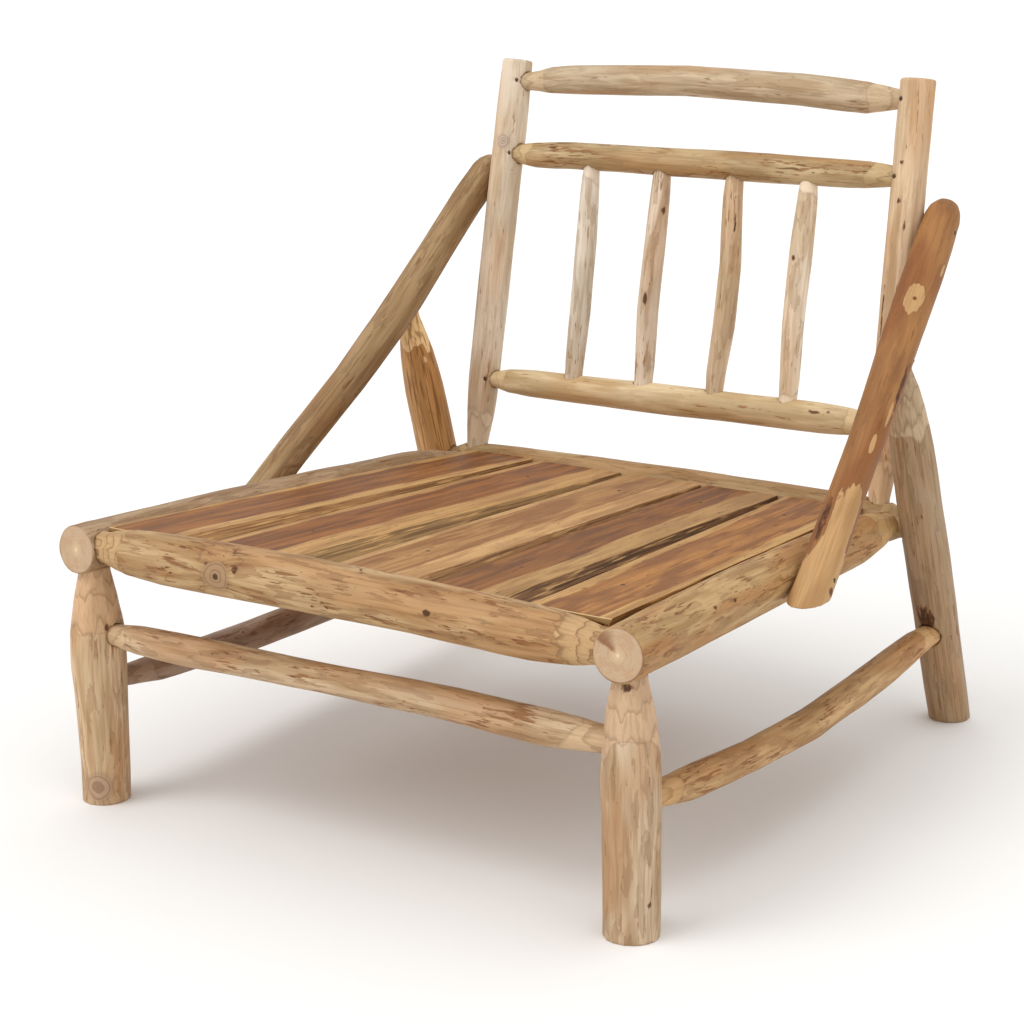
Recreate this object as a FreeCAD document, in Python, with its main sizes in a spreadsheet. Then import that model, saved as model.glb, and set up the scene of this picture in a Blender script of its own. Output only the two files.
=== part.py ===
import FreeCAD, Part
import itertools
import math
import os
from dataclasses import dataclass

import Sketcher

# Twig chair: a low lounge chair of peeled branches, in millimetres.
# X runs to the right as seen from the front, Y runs to the back, Z is up. Left and right in the
# names are as seen from the front. The origin is on the floor, under the middle of the chair.
# Every branch is a lofted log. Its ends are thinned to a neck that is driven into a round
# socket in the next log, so each joint takes its size and place from the two logs it joins.

Vector = FreeCAD.Vector
OUT_FOLDER = "parts"

# Driving sizes
SIZES = {
    # Side rails, the two long logs of the seat frame
    "side_rail_radius": 27.5,
    "side_rail_front_half_span": 330.0,
    "side_rail_rear_half_span": 292.0,
    "side_rail_front_reach": 384.5,
    "side_rail_left_front_height": 283.5,
    "side_rail_right_front_height": 281.5,
    # Rear rail, the cross log that carries the back
    "rear_rail_radius": 26.5,
    "rear_rail_half_span": 331.0,
    "rear_rail_reach": 273.0,
    "rear_rail_height": 248.5,
    # Front rail
    "front_rail_radius": 27.5,
    "front_rail_setback": 19.0,
    "front_rail_left_lift": 3.0,
    # Front legs
    "front_leg_radius": 28.0,
    "front_leg_setback": 25.0,
    "front_leg_splay": 2.0,
    # Stretchers
    "front_stretcher_radius": 19.0,
    "front_stretcher_height": 188.0,
    "side_stretcher_radius": 17.5,
    "side_stretcher_left_front_height": 129.0,
    "side_stretcher_left_rear_height": 102.0,
    "side_stretcher_right_front_height": 127.0,
    "side_stretcher_right_rear_height": 116.0,
    # Back posts
    "back_post_radius": 20.5,
    "back_post_foot_half_span": 275.0,
    "back_post_left_head_half_span": 263.0,
    "back_post_right_head_half_span": 269.5,
    "back_post_rake": 86.5,
    "back_post_left_head_height": 738.0,
    "back_post_right_head_height": 735.0,
    # Cross rails of the back
    "top_back_rail_radius": 19.0,
    "top_back_rail_left_height": 713.0,
    "top_back_rail_right_height": 712.0,
    "middle_back_rail_radius": 17.5,
    "middle_back_rail_left_height": 626.0,
    "middle_back_rail_right_height": 628.0,
    "lower_back_rail_radius": 18.5,
    "lower_back_rail_left_height": 352.0,
    "lower_back_rail_right_height": 354.0,
    # Spindles between the middle and the lower cross rail
    "spindle_radius": 13.0,
    "spindle_1_place": -143.0,
    "spindle_2_place": -45.0,
    "spindle_3_place": 52.0,
    "spindle_4_place": 148.0,
    # Arms, nailed outside the side rails and the posts
    "arm_radius": 22.0,
    "arm_toe_setback": 322.0,
    "arm_toe_drop": 7.0,
    "arm_toe_cut": 4.0,
    "arm_toe_nail_lift": 22.0,
    "arm_toe_spare": 40.0,
    "arm_left_head_height": 588.0,
    "arm_right_head_height": 571.0,
    "arm_head_spare": 42.0,
    # Rear legs
    "rear_leg_radius": 25.5,
    "rear_leg_left_joint_lead": 81.0,
    "rear_leg_right_joint_lead": 75.5,
    # Seat boards, laid in a gentle fall to the back
    "slat_thickness": 22.0,
    "seat_front_lift": 20.0,
    "seat_rear_lift": 15.0,
    "slat_left_front_inset": 12.0,
    "slat_left_rear_inset": 12.0,
    "slat_right_front_inset": 12.0,
    "slat_right_rear_inset": 25.3,
    "waney_edge_1_front": 35.0,
    "waney_edge_2_front": 46.0,
    "waney_edge_3_front": 18.0,
    "waney_edge_4_front": 28.0,
    "waney_edge_5_front": 8.0,
    "waney_edge_rear": 1.5,
    "slot_width": 6.0,
    # Bearers under the boards
    "bearer_width": 42.0,
    "bearer_thickness": 20.0,
    "bearer_tenon_radius": 8.0,
    # Nails
    "nail_shank_radius": 1.3,
    "nail_head_radius": 2.8,
    "nail_head_thickness": 1.2,
    "slat_nail_length": 32.0,
    "joint_nail_length": 62.0,
    "small_nail_length": 26.0,
    # Fits and edges
    "fit_gap": 0.25,
    "cut_overrun": 3.0,
    "foot_spare": 25.0,
    "sawn_edge_radius": 2.5,
}


# Shape tables
# Each row is one station of a log: how far along it lies as a share of the length, then the
# girth, the bow to the side and the bow upwards as shares of the log's radius.
FRONT_LEG_LEFT_SHARES = (
    (0.0, 0.94, 0.0, 0.0),
    (0.22, 0.96, 0.05, 0.0),
    (0.45, 1.02, 0.02, 0.0),
    (0.62, 1.08, -0.02, 0.0),
    (0.76, 1.06, 0.0, 0.0),
    (0.90, 0.84, 0.0, 0.0),
    (1.0, 0.62, 0.0, 0.0),
)
FRONT_LEG_RIGHT_SHARES = (
    (0.0, 0.98, 0.0, 0.0),
    (0.25, 1.0, 0.04, 0.0),
    (0.50, 1.03, 0.03, 0.0),
    (0.68, 1.06, 0.0, 0.0),
    (0.80, 1.0, 0.0, 0.0),
    (0.91, 0.82, 0.0, 0.0),
    (1.0, 0.62, 0.0, 0.0),
)
SIDE_RAIL_LEFT_SHARES = (
    (0.0, 0.99, 0.0, 0.0),
    (0.12, 1.0, 0.0, 0.0),
    (0.35, 1.0, 0.0, 0.05),
    (0.60, 0.98, 0.0, 0.05),
    (0.85, 0.96, 0.0, 0.0),
    (0.94, 0.80, 0.0, 0.0),
    (1.0, 0.53, 0.0, 0.0),
)
SIDE_RAIL_RIGHT_SHARES = (
    (0.0, 1.0, 0.0, 0.0),
    (0.12, 1.02, 0.0, 0.0),
    (0.35, 1.04, 0.0, 0.05),
    (0.60, 1.02, 0.0, 0.05),
    (0.85, 1.0, 0.0, 0.0),
    (0.94, 0.82, 0.0, 0.0),
    (1.0, 0.53, 0.0, 0.0),
)
REAR_RAIL_SHARES = (
    (0.0, 0.60, 0.0, 0.0),
    (0.025, 0.85, 0.0, 0.0),
    (0.06, 0.96, 0.0, 0.0),
    (0.50, 1.0, 0.0, 0.10),
    (0.94, 0.98, 0.0, 0.0),
    (0.975, 0.87, 0.0, 0.0),
    (1.0, 0.60, 0.0, 0.0),
)
FRONT_RAIL_SHARES = (
    (0.0, 0.62, 0.0, 0.0),
    (0.02, 0.74, 0.0, 0.0),
    (0.055, 0.92, 0.0, 0.0),
    (0.13, 1.0, 0.0, 0.0),
    (0.40, 1.02, 0.0, 0.10),
    (0.65, 0.98, 0.0, 0.10),
    (0.88, 0.98, 0.0, 0.0),
    (0.96, 0.86, 0.0, 0.0),
    (1.0, 0.68, 0.0, 0.0),
)
FRONT_STRETCHER_SHARES = (
    (0.0, 0.64, 0.0, 0.0),
    (0.05, 0.85, 0.0, 0.0),
    (0.16, 0.91, 0.0, 0.0),
    (0.45, 0.84, 0.0, 0.06),
    (0.72, 0.92, 0.0, 0.14),
    (0.90, 1.0, 0.0, -0.05),
    (1.0, 0.74, 0.0, 0.0),
)
SIDE_STRETCHER_LEFT_SHARES = (
    (0.0, 0.66, 0.0, 0.0),
    (0.10, 0.92, 0.0, -0.2),
    (0.35, 1.02, 0.0, -0.25),
    (0.65, 1.02, 0.0, -0.1),
    (0.90, 0.92, 0.0, -0.1),
    (1.0, 0.66, 0.0, 0.0),
)
SIDE_STRETCHER_RIGHT_SHARES = (
    (0.0, 0.70, 0.0, 0.0),
    (0.10, 0.98, -0.2, -0.3),
    (0.30, 0.96, -0.5, -0.68),
    (0.50, 1.0, -0.6, -0.75),
    (0.68, 1.04, -0.5, -0.5),
    (0.82, 1.02, -0.35, -0.2),
    (0.94, 0.94, -0.1, 0.0),
    (1.0, 0.76, 0.0, 0.0),
)
BACK_POST_LEFT_SHARES = (
    (0.0, 0.66, 0.0, 0.0),
    (0.08, 0.86, 0.0, 0.0),
    (0.17, 0.98, 0.0, 0.0),
    (0.50, 0.98, 0.0, 0.0),
    (0.75, 0.98, 0.0, 0.0),
    (1.0, 0.94, 0.0, 0.0),
)
BACK_POST_RIGHT_SHARES = (
    (0.0, 0.62, 0.0, 0.0),
    (0.08, 0.84, 0.0, 0.0),
    (0.17, 0.96, 0.0, 0.0),
    (0.50, 0.98, 0.0, 0.0),
    (0.75, 0.98, 0.0, 0.0),
    (1.0, 1.0, 0.0, 0.0),
)
TOP_BACK_RAIL_SHARES = (
    (0.0, 0.58, 0.0, 0.0),
    (0.03, 0.66, 0.0, 0.05),
    (0.07, 0.86, 0.0, 0.15),
    (0.14, 0.92, 0.0, 0.25),
    (0.45, 0.98, 0.0, 0.5),
    (0.75, 1.02, 0.0, 0.3),
    (0.92, 1.0, 0.0, 0.0),
    (0.965, 0.78, 0.0, 0.0),
    (1.0, 0.62, 0.0, 0.0),
)
MIDDLE_BACK_RAIL_SHARES = (
    (0.0, 0.70, 0.0, 0.0),
    (0.045, 0.93, 0.0, 0.0),
    (0.14, 0.98, 0.0, 0.1),
    (0.50, 1.0, 0.0, 0.1),
    (0.85, 1.0, 0.0, 0.0),
    (0.94, 0.94, 0.0, 0.0),
    (1.0, 0.72, 0.0, 0.0),
)
LOWER_BACK_RAIL_SHARES = (
    (0.0, 0.58, 0.0, 0.0),
    (0.035, 0.84, 0.0, 0.0),
    (0.10, 0.94, 0.0, 0.0),
    (0.50, 1.0, 0.0, 0.0),
    (0.88, 1.0, 0.0, 0.0),
    (0.95, 0.92, 0.0, 0.0),
    (1.0, 0.68, 0.0, 0.0),
)
SPINDLE_SHARES = (
    ((0.0, 0.84, 0.0, 0.0), (0.08, 0.92, 0.0, 0.0), (0.30, 1.02, 0.1, 0.0),
     (0.65, 1.0, 0.1, 0.0), (0.92, 0.92, 0.0, 0.0), (1.0, 0.78, 0.0, 0.0)),
    ((0.0, 0.86, 0.0, 0.0), (0.08, 0.95, 0.0, 0.0), (0.35, 1.02, -0.2, 0.0),
     (0.65, 1.0, -0.1, 0.0), (0.92, 0.94, 0.0, 0.0), (1.0, 0.84, 0.0, 0.0)),
    ((0.0, 0.82, 0.0, 0.0), (0.08, 0.92, 0.0, 0.0), (0.30, 1.02, 0.3, 0.0),
     (0.60, 1.0, 0.4, 0.0), (0.92, 0.92, 0.0, 0.0), (1.0, 0.82, 0.0, 0.0)),
    ((0.0, 0.82, 0.0, 0.0), (0.08, 0.92, 0.0, 0.0), (0.35, 1.0, -0.2, 0.0),
     (0.70, 1.08, -0.1, 0.0), (0.92, 0.96, 0.0, 0.0), (1.0, 0.82, 0.0, 0.0)),
)
ARM_LEFT_SHARES = (
    (0.0, 0.92, 0.0, 0.0),
    (0.20, 0.93, 0.0, -0.25),
    (0.40, 0.96, 0.0, -0.62),
    (0.55, 1.0, 0.0, -0.65),
    (0.72, 0.96, 0.0, -0.42),
    (0.88, 0.94, 0.0, -0.15),
    (0.960, 0.92, 0.0, -0.12),
    (0.978, 0.82, 0.0, -0.12),
    (0.992, 0.62, 0.0, -0.12),
    (1.0, 0.36, 0.0, -0.12),
)
ARM_RIGHT_SHARES = (
    (0.0, 0.96, 0.0, 0.0),
    (0.20, 0.93, 0.0, -0.05),
    (0.40, 0.90, 0.0, -0.20),
    (0.60, 0.98, 0.0, -0.15),
    (0.78, 1.03, 0.0, 0.0),
    (0.90, 1.02, 0.0, 0.0),
    (0.960, 0.98, 0.0, 0.0),
    (0.978, 0.88, 0.0, 0.0),
    (0.992, 0.68, 0.0, 0.0),
    (1.0, 0.40, 0.0, 0.0),
)
REAR_LEG_LEFT_SHARES = (
    (0.0, 0.96, 0.0, 0.0),
    (0.30, 1.0, 0.0, 0.0),
    (0.60, 1.0, 0.0, 0.0),
    (0.80, 0.98, 0.0, 0.0),
    (0.90, 0.84, 0.0, 0.0),
    (0.95, 0.68, 0.0, 0.0),
    (1.0, 0.50, 0.0, 0.0),
)
REAR_LEG_RIGHT_SHARES = (
    (0.0, 0.96, 0.0, 0.0),
    (0.30, 1.0, 0.0, 0.0),
    (0.60, 1.02, 0.0, 0.0),
    (0.80, 1.0, 0.0, 0.0),
    (0.90, 0.87, 0.0, 0.0),
    (0.955, 0.70, 0.0, 0.0),
    (1.0, 0.48, 0.0, 0.0),
)

SIDE_RAIL_SHARES = {"left": SIDE_RAIL_LEFT_SHARES, "right": SIDE_RAIL_RIGHT_SHARES}
FRONT_LEG_SHARES = {"left": FRONT_LEG_LEFT_SHARES, "right": FRONT_LEG_RIGHT_SHARES}
BACK_POST_SHARES = {"left": BACK_POST_LEFT_SHARES, "right": BACK_POST_RIGHT_SHARES}
ARM_SHARES = {"left": ARM_LEFT_SHARES, "right": ARM_RIGHT_SHARES}
REAR_LEG_SHARES = {"left": REAR_LEG_LEFT_SHARES, "right": REAR_LEG_RIGHT_SHARES}
SIDE_STRETCHER_SHARES = {"left": SIDE_STRETCHER_LEFT_SHARES, "right": SIDE_STRETCHER_RIGHT_SHARES}
BACK_RAIL_SHARES = {
    "top": TOP_BACK_RAIL_SHARES,
    "middle": MIDDLE_BACK_RAIL_SHARES,
    "lower": LOWER_BACK_RAIL_SHARES,
}

# Joint shares
# How near the middle of the host log the tip of a neck stops, as a share of the host's radius.
LEG_TIP_SHARE = 0.76
FRONT_RAIL_TIP_SHARE = 0.68
REAR_RAIL_TIP_SHARE = 0.55
SIDE_RAIL_TIP_SHARE = 0.60
STRETCHER_TIP_SHARE = 0.45
POST_TIP_SHARE = 0.30
BACK_RAIL_TIP_SHARE = 0.30
SPINDLE_TIP_SHARE = 0.40
REAR_LEG_TIP_SHARE = 0.30
BEARER_TIP_SHARE = 0.45
# How deep the arms are flattened where they are nailed on: the distance of the flat from the
# arm's middle line, as a share of the arm's radius.
ARM_FLAT_SHARE = 0.90
# How round the rim of a post's head is, as a share of the post's radius.
POST_ROUND_SHARE = 0.12
# Where a nail enters a post beside its middle line, as a share of the post's radius.
NAIL_SIDE_SHARE = 0.55
# How far the head of a nail in a round log is sunk, as a share of the log's radius.
NAIL_SINK_SHARE = 0.05
# Where a board's nails are across its top, as a share of its width.
SLAT_NAIL_SHARE = 0.42
# How far a board reaches over the middle of the front rail and the rear rail before it is
# cut to their round, as a share of the rail's radius.
FRONT_LAP_SHARE = 0.35
REAR_LAP_SHARE = 0.30

# How the boards share the room between the side rails, and where the bearers cross under them.
SLAT_FRONT_SHARES = (0.202, 0.221, 0.210, 0.174, 0.193)
SLAT_REAR_SHARES = (0.203, 0.231, 0.194, 0.182, 0.190)
BEARER_SHARES = {"front": 0.193, "rear": 0.828}
# How far the cut of a waney edge runs past a board's top and foot, as a share of the board.
WANEY_SPARE_SHARE = 0.2
# How wide the blocks are that saw an end level or cut a flat, as a share of the arm's radius.
SAW_SPAN_SHARE = 6

SIDES = (("left", -1), ("right", 1))
SLAT_COUNT = 5
SLAT_NUMBERS = range(1, SLAT_COUNT + 1)
CIRCLE_TURN = Vector(0, 0, 1)


document = FreeCAD.newDocument("TwigChair")
sheet = document.addObject("Spreadsheet::Sheet", "Sizes")
sheet_rows = itertools.count(1)
nodes = {}
cut_tools = {}


def put(name, value):
    """Write one size into the next row of the sheet and give its cell the size's name."""
    row = next(sheet_rows)
    sheet.set(f"A{row}", name)
    sheet.set(f"B{row}", str(round(value, 6)))
    sheet.setAlias(f"B{row}", name)
    return f"Sizes.{name}"


@dataclass
class Joint:
    """A place on a host log that takes the neck of another log."""

    host: str
    point: Vector
    host_along: Vector
    host_radius: float
    tip_share: float


def joint_on(host, share, tip_share, lift=0):
    """A joint at a share of a host log's length, lifted off its middle line where asked."""
    point = host.centre(share) + Vector(0, 0, lift)
    return Joint(host.name, point, host.along, host.radius_at(share), tip_share)


class Log:
    """One peeled branch: a loft through round stations, with necks that enter other logs."""

    def __init__(self, name, radius, shares, start, end, upright=False):
        self.name = name
        self.radius_name = radius
        self.radius = SIZES[radius]
        self.shares = shares
        self.joints = {"start": None, "end": None}
        points = {}
        for key, place in (("start", start), ("end", end)):
            if isinstance(place, Joint):
                self.joints[key] = place
                points[key] = place.point
            else:
                points[key] = place
        self.along = (points["end"] - points["start"]).normalize()
        reference = Vector(0, 1, 0) if upright else Vector(0, 0, 1)
        self.side = reference.cross(self.along).normalize()
        self.rise = self.along.cross(self.side)
        self.rotation = FreeCAD.Rotation(self.side, self.rise, self.along, "ZXY")
        insets = {
            "start": self.shoulder("start", shares[0][1] * self.radius),
            "end": self.shoulder("end", shares[-1][1] * self.radius),
        }
        self.base = points["start"] + self.along * insets["start"]
        self.length = (points["end"] - points["start"]).Length - insets["start"] - insets["end"]
        self.necks = {
            key: insets[key] - joint.host_radius * joint.tip_share
            for key, joint in self.joints.items()
            if joint
        }

    def shoulder(self, key, neck_radius):
        """How far from the host's middle line the whole round of a neck is clear of the host."""
        joint = self.joints[key]
        if not joint:
            return 0
        lean = abs(self.along.dot(joint.host_along))
        return (joint.host_radius + neck_radius * lean) / math.sqrt(1 - lean**2)

    def at(self, share, column):
        """Read one column of the shape table between its stations."""
        rows = self.shares
        share = min(max(share, 0), 1)
        for low, high in zip(rows, rows[1:]):
            if share <= high[0]:
                part = (share - low[0]) / (high[0] - low[0])
                return low[column] + (high[column] - low[column]) * part
        return rows[-1][column]

    def radius_at(self, share):
        return self.radius * self.at(share, 1)

    def centre(self, share):
        """World point on the bowed middle line."""
        point = self.base + self.along * (self.length * share)
        point += self.side * (self.at(share, 2) * self.radius)
        return point + self.rise * (self.at(share, 3) * self.radius)

    def share_where(self, axis, value):
        """Share at which the straight line between the ends reaches a world coordinate."""
        return (value - self.base[axis]) / (self.along[axis] * self.length)

    def build(self, label, room="", edges=None):
        """Make the log's body. With room, every radius grows by it."""
        length = f"Sizes.{self.name}_length"
        if not room:
            put(f"{self.name}_length", self.length)
            for key, neck in self.necks.items():
                put(f"{self.name}_{key}_neck", neck)
        body = document.addObject("PartDesign::Body", label)
        body.Label = label
        body.Placement = FreeCAD.Placement(self.base, self.rotation)
        stations = []
        for index, (along, girth, side, rise) in enumerate(self.shares):
            radius = f"Sizes.{self.radius_name} * {girth}{room}"
            sketch = add_circle(body, f"{label}_station_{index}", radius)
            for axis, share, size in (
                ("x", side, f"Sizes.{self.radius_name}"),
                ("y", rise, f"Sizes.{self.radius_name}"),
                ("z", along, length),
            ):
                sketch.setExpression(f"AttachmentOffset.Base.{axis}", f"{size} * {share}")
            stations.append(sketch)
        loft = body.newObject("PartDesign::AdditiveLoft", f"{label}_loft")
        loft.Profile = stations[0]
        loft.Sections = stations[1:]
        loft.Ruled = True
        body.Tip = loft
        for key, row, height in (("start", self.shares[0], ""), ("end", self.shares[-1], length)):
            if key not in self.necks:
                continue
            sketch = add_circle(
                body, f"{label}_{key}_circle", f"Sizes.{self.radius_name} * {row[1]}{room}"
            )
            if height:
                sketch.setExpression("AttachmentOffset.Base.z", height)
            pad = body.newObject("PartDesign::Pad", f"{label}_{key}_neck")
            pad.Profile = sketch
            pad.Reversed = key == "start"
            pad.setExpression("Length", f"Sizes.{self.name}_{key}_neck")
            body.Tip = pad
        for key, radius in (edges or {}).items():
            round_end(body, label, key, self.length, radius)
        return body

    def mortises(self):
        """Cut a socket for each neck into its host, larger by the fit gap."""
        for key, joint in self.joints.items():
            if not joint:
                continue
            row = self.shares[0] if key == "start" else self.shares[-1]
            outward = -1 if key == "start" else 1
            shoulder = self.base if key == "start" else self.base + self.along * self.length
            mouth = shoulder - self.along * (outward * SIZES["cut_overrun"])
            add_hole(
                f"{self.name}_{key}_socket",
                mouth,
                self.along * outward,
                f"Sizes.{self.radius_name} * {row[1]} + Sizes.fit_gap",
                f"Sizes.{self.name}_{key}_neck + Sizes.cut_overrun + Sizes.fit_gap",
                (joint.host,),
            )


def new_sketch(body, name, plane="XY_Plane"):
    """A sketch on one of the body's own planes."""
    sketch = body.newObject("Sketcher::SketchObject", name)
    support = next(item for item in body.Origin.OriginFeatures if item.Role == plane)
    sketch.AttachmentSupport = [(support, "")]
    sketch.MapMode = "FlatFace"
    return sketch


def add_circle(body, name, radius):
    """A sketch with one circle about its origin, its radius given as an expression."""
    sketch = new_sketch(body, name)
    sketch.addGeometry(Part.Circle(Vector(0, 0, 0), CIRCLE_TURN, 1), False)
    sketch.addConstraint(Sketcher.Constraint("Coincident", 0, 3, -1, 1))
    sketch.addConstraint(Sketcher.Constraint("Radius", 0, 1))
    sketch.setExpression("Constraints[1]", radius)
    return sketch


def round_end(body, label, key, length, radius):
    """Round the rim of a free end."""
    document.recompute()
    height = 0 if key == "start" else length
    tip = body.Tip
    rims = []
    for index, edge in enumerate(tip.Shape.Edges, start=1):
        centre = edge.CenterOfMass
        if edge.isClosed() and abs(centre.z - height) < SIZES["fit_gap"]:
            rims.append(f"Edge{index}")
    fillet = body.newObject("PartDesign::Fillet", f"{label}_{key}_rim")
    fillet.Base = (tip, rims)
    fillet.setExpression("Radius", radius)
    body.Tip = fillet


def add_cylinder(name, point, direction, radius, height):
    cylinder = document.addObject("Part::Cylinder", name)
    cylinder.setExpression("Radius", radius)
    cylinder.setExpression("Height", height)
    turn = FreeCAD.Rotation(Vector(0, 0, 1), direction)
    cylinder.Placement = FreeCAD.Placement(point, turn)
    return cylinder


def add_hole(name, mouth, direction, radius, depth, hosts):
    """Make a round cutter and list it for every node that it goes into."""
    for host in hosts:
        cutter = add_cylinder(f"{name}_in_{host}", mouth, direction, radius, depth)
        cut_tools.setdefault(host, []).append(cutter)


def finish(name, body):
    """Cut the listed holes out of a piece and name the result as a node."""
    tools = cut_tools.pop(name, [])
    if tools:
        tool = tools[0]
        if len(tools) > 1:
            tool = document.addObject("Part::MultiFuse", f"{name}_cutters")
            tool.Shapes = tools
        piece = document.addObject("Part::Cut", f"{name}_piece")
        piece.Base = body
        piece.Tool = tool
    else:
        piece = body
    piece.Label = name
    nodes[name] = piece


def trimmed(name, body, rooms):
    """Scribe a piece to the round of its neighbours."""
    for index, room in enumerate(rooms, start=1):
        cut = document.addObject("Part::Cut", f"{name}_scribed_{index}")
        cut.Base = body
        cut.Tool = room
        body = cut
    return body


for size_name, size_value in SIZES.items():
    put(size_name, size_value)

logs = {}
bodies = {}


def add_log(name, radius, shares, start, end, upright=False, edges=None):
    log = Log(name, radius, shares, start, end, upright)
    logs[name] = log
    bodies[name] = log.build(f"{name}_log", edges=edges)
    return log


# Seat frame
rear_rail_ends = {
    side: Vector(
        sign * SIZES["rear_rail_half_span"], SIZES["rear_rail_reach"], SIZES["rear_rail_height"]
    )
    for side, sign in SIDES
}
rear_rail = add_log(
    "rear_rail",
    "rear_rail_radius",
    REAR_RAIL_SHARES,
    *(
        Joint(
            f"rear_leg_{side}",
            rear_rail_ends[side],
            Vector(0, 0, 1),
            SIZES["rear_leg_radius"] * max(girth for along, girth, *bow in REAR_LEG_SHARES[side]),
            REAR_RAIL_TIP_SHARE,
        )
        for side, sign in SIDES
    ),
)
side_rails = {}
for side, sign in SIDES:
    front = Vector(
        sign * SIZES["side_rail_front_half_span"],
        -SIZES["side_rail_front_reach"],
        SIZES[f"side_rail_{side}_front_height"],
    )
    share = rear_rail.share_where(0, sign * SIZES["side_rail_rear_half_span"])
    side_rails[side] = add_log(
        f"side_rail_{side}",
        "side_rail_radius",
        SIDE_RAIL_SHARES[side],
        front,
        joint_on(rear_rail, share, SIDE_RAIL_TIP_SHARE),
        edges={"start": "Sizes.sawn_edge_radius"},
    )
front_rail = add_log(
    "front_rail",
    "front_rail_radius",
    FRONT_RAIL_SHARES,
    joint_on(
        side_rails["left"],
        SIZES["front_rail_setback"] / side_rails["left"].length,
        FRONT_RAIL_TIP_SHARE,
        SIZES["front_rail_left_lift"],
    ),
    joint_on(
        side_rails["right"],
        SIZES["front_rail_setback"] / side_rails["right"].length,
        FRONT_RAIL_TIP_SHARE,
    ),
)

# Front legs
front_legs = {}
for side, sign in SIDES:
    rail = side_rails[side]
    head = joint_on(rail, SIZES["front_leg_setback"] / rail.length, LEG_TIP_SHARE)
    foot = Vector(head.point.x + sign * SIZES["front_leg_splay"], head.point.y, -SIZES["foot_spare"])
    front_legs[side] = add_log(
        f"front_leg_{side}", "front_leg_radius", FRONT_LEG_SHARES[side], foot, head, upright=True
    )

# Back
posts = {}
for side, sign in SIDES:
    share = rear_rail.share_where(0, sign * SIZES["back_post_foot_half_span"])
    head = Vector(
        sign * SIZES[f"back_post_{side}_head_half_span"],
        SIZES["rear_rail_reach"] + SIZES["back_post_rake"],
        SIZES[f"back_post_{side}_head_height"],
    )
    posts[side] = add_log(
        f"back_post_{side}",
        "back_post_radius",
        BACK_POST_SHARES[side],
        joint_on(rear_rail, share, POST_TIP_SHARE),
        head,
        upright=True,
        edges={"end": f"Sizes.back_post_radius * {POST_ROUND_SHARE}"},
    )
back_rails = {}
for place in ("top", "middle", "lower"):
    ends = []
    for side, sign in SIDES:
        share = posts[side].share_where(2, SIZES[f"{place}_back_rail_{side}_height"])
        ends.append(joint_on(posts[side], share, BACK_RAIL_TIP_SHARE))
    back_rails[place] = add_log(
        f"{place}_back_rail", f"{place}_back_rail_radius", BACK_RAIL_SHARES[place], *ends
    )
for number, shares in enumerate(SPINDLE_SHARES, start=1):
    place = SIZES[f"spindle_{number}_place"]
    ends = [
        joint_on(back_rails[rail], back_rails[rail].share_where(0, place), SPINDLE_TIP_SHARE)
        for rail in ("lower", "middle")
    ]
    add_log(f"spindle_{number}", "spindle_radius", shares, *ends, upright=True)

# Arms and rear legs
arms = {}
rear_legs = {}
nail_places = {}
joint_shares = {}


def add_flat(name, host, share, outward, across):
    """Cut a flat on an arm where it lies against the side of its host."""
    span = SAW_SPAN_SHARE * SIZES["arm_radius"]
    wide = 2 * (host.radius + SIZES["cut_overrun"])
    skin = host.centre(share) + outward * (host.radius_at(share) + SIZES["fit_gap"])
    flat = document.addObject("Part::Box", f"{name}_flat_on_{host.name}")
    flat.setExpression("Length", "2 * Sizes.arm_radius")
    flat.setExpression("Width", f"2 * (Sizes.{host.radius_name} + Sizes.cut_overrun)")
    flat.setExpression("Height", f"{SAW_SPAN_SHARE} * Sizes.arm_radius")
    corner = skin - across * (wide / 2) - host.along * (span / 2)
    turn = FreeCAD.Rotation(outward * -1, across, host.along, "ZXY")
    flat.Placement = FreeCAD.Placement(corner, turn)
    cut_tools.setdefault(name, []).append(flat)


for side, sign in SIDES:
    rail = side_rails[side]
    post = posts[side]
    toe_share = rail.share_where(1, SIZES["arm_toe_setback"] - SIZES["side_rail_front_reach"])
    head_share = post.share_where(2, SIZES[f"arm_{side}_head_height"])
    contacts = []
    for host, share, drop in ((rail, toe_share, SIZES["arm_toe_drop"]), (post, head_share, 0)):
        across = host.along.cross(Vector(-sign, 0, 0)).normalize()
        outward = host.along.cross(across)
        apart = host.radius_at(share) + SIZES["fit_gap"] + SIZES["arm_radius"] * ARM_FLAT_SHARE
        contacts.append(host.centre(share) + outward * apart - Vector(0, 0, drop))
        add_flat(f"arm_{side}", host, share, outward, across)
    slope = (contacts[1] - contacts[0]).normalize()
    arms[side] = add_log(
        f"arm_{side}",
        "arm_radius",
        ARM_SHARES[side],
        contacts[0] - slope * SIZES["arm_toe_spare"],
        contacts[1] + slope * SIZES["arm_head_spare"],
    )
    put(f"arm_{side}_toe_height", contacts[0].z - SIZES["arm_toe_cut"])
    nail_places[side] = (contacts[0] + slope * SIZES["arm_toe_nail_lift"], contacts[1])
    joint_place = SIZES["rear_rail_reach"] - SIZES[f"rear_leg_{side}_joint_lead"]
    share = arms[side].share_where(1, joint_place)
    joint_shares[side] = share
    head = joint_on(arms[side], share, REAR_LEG_TIP_SHARE)
    down = rear_rail_ends[side] - head.point
    foot = head.point + down * ((head.point.z + SIZES["foot_spare"]) / -down.z)
    rear_legs[side] = add_log(
        f"rear_leg_{side}", "rear_leg_radius", REAR_LEG_SHARES[side], foot, head, upright=True
    )

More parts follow.
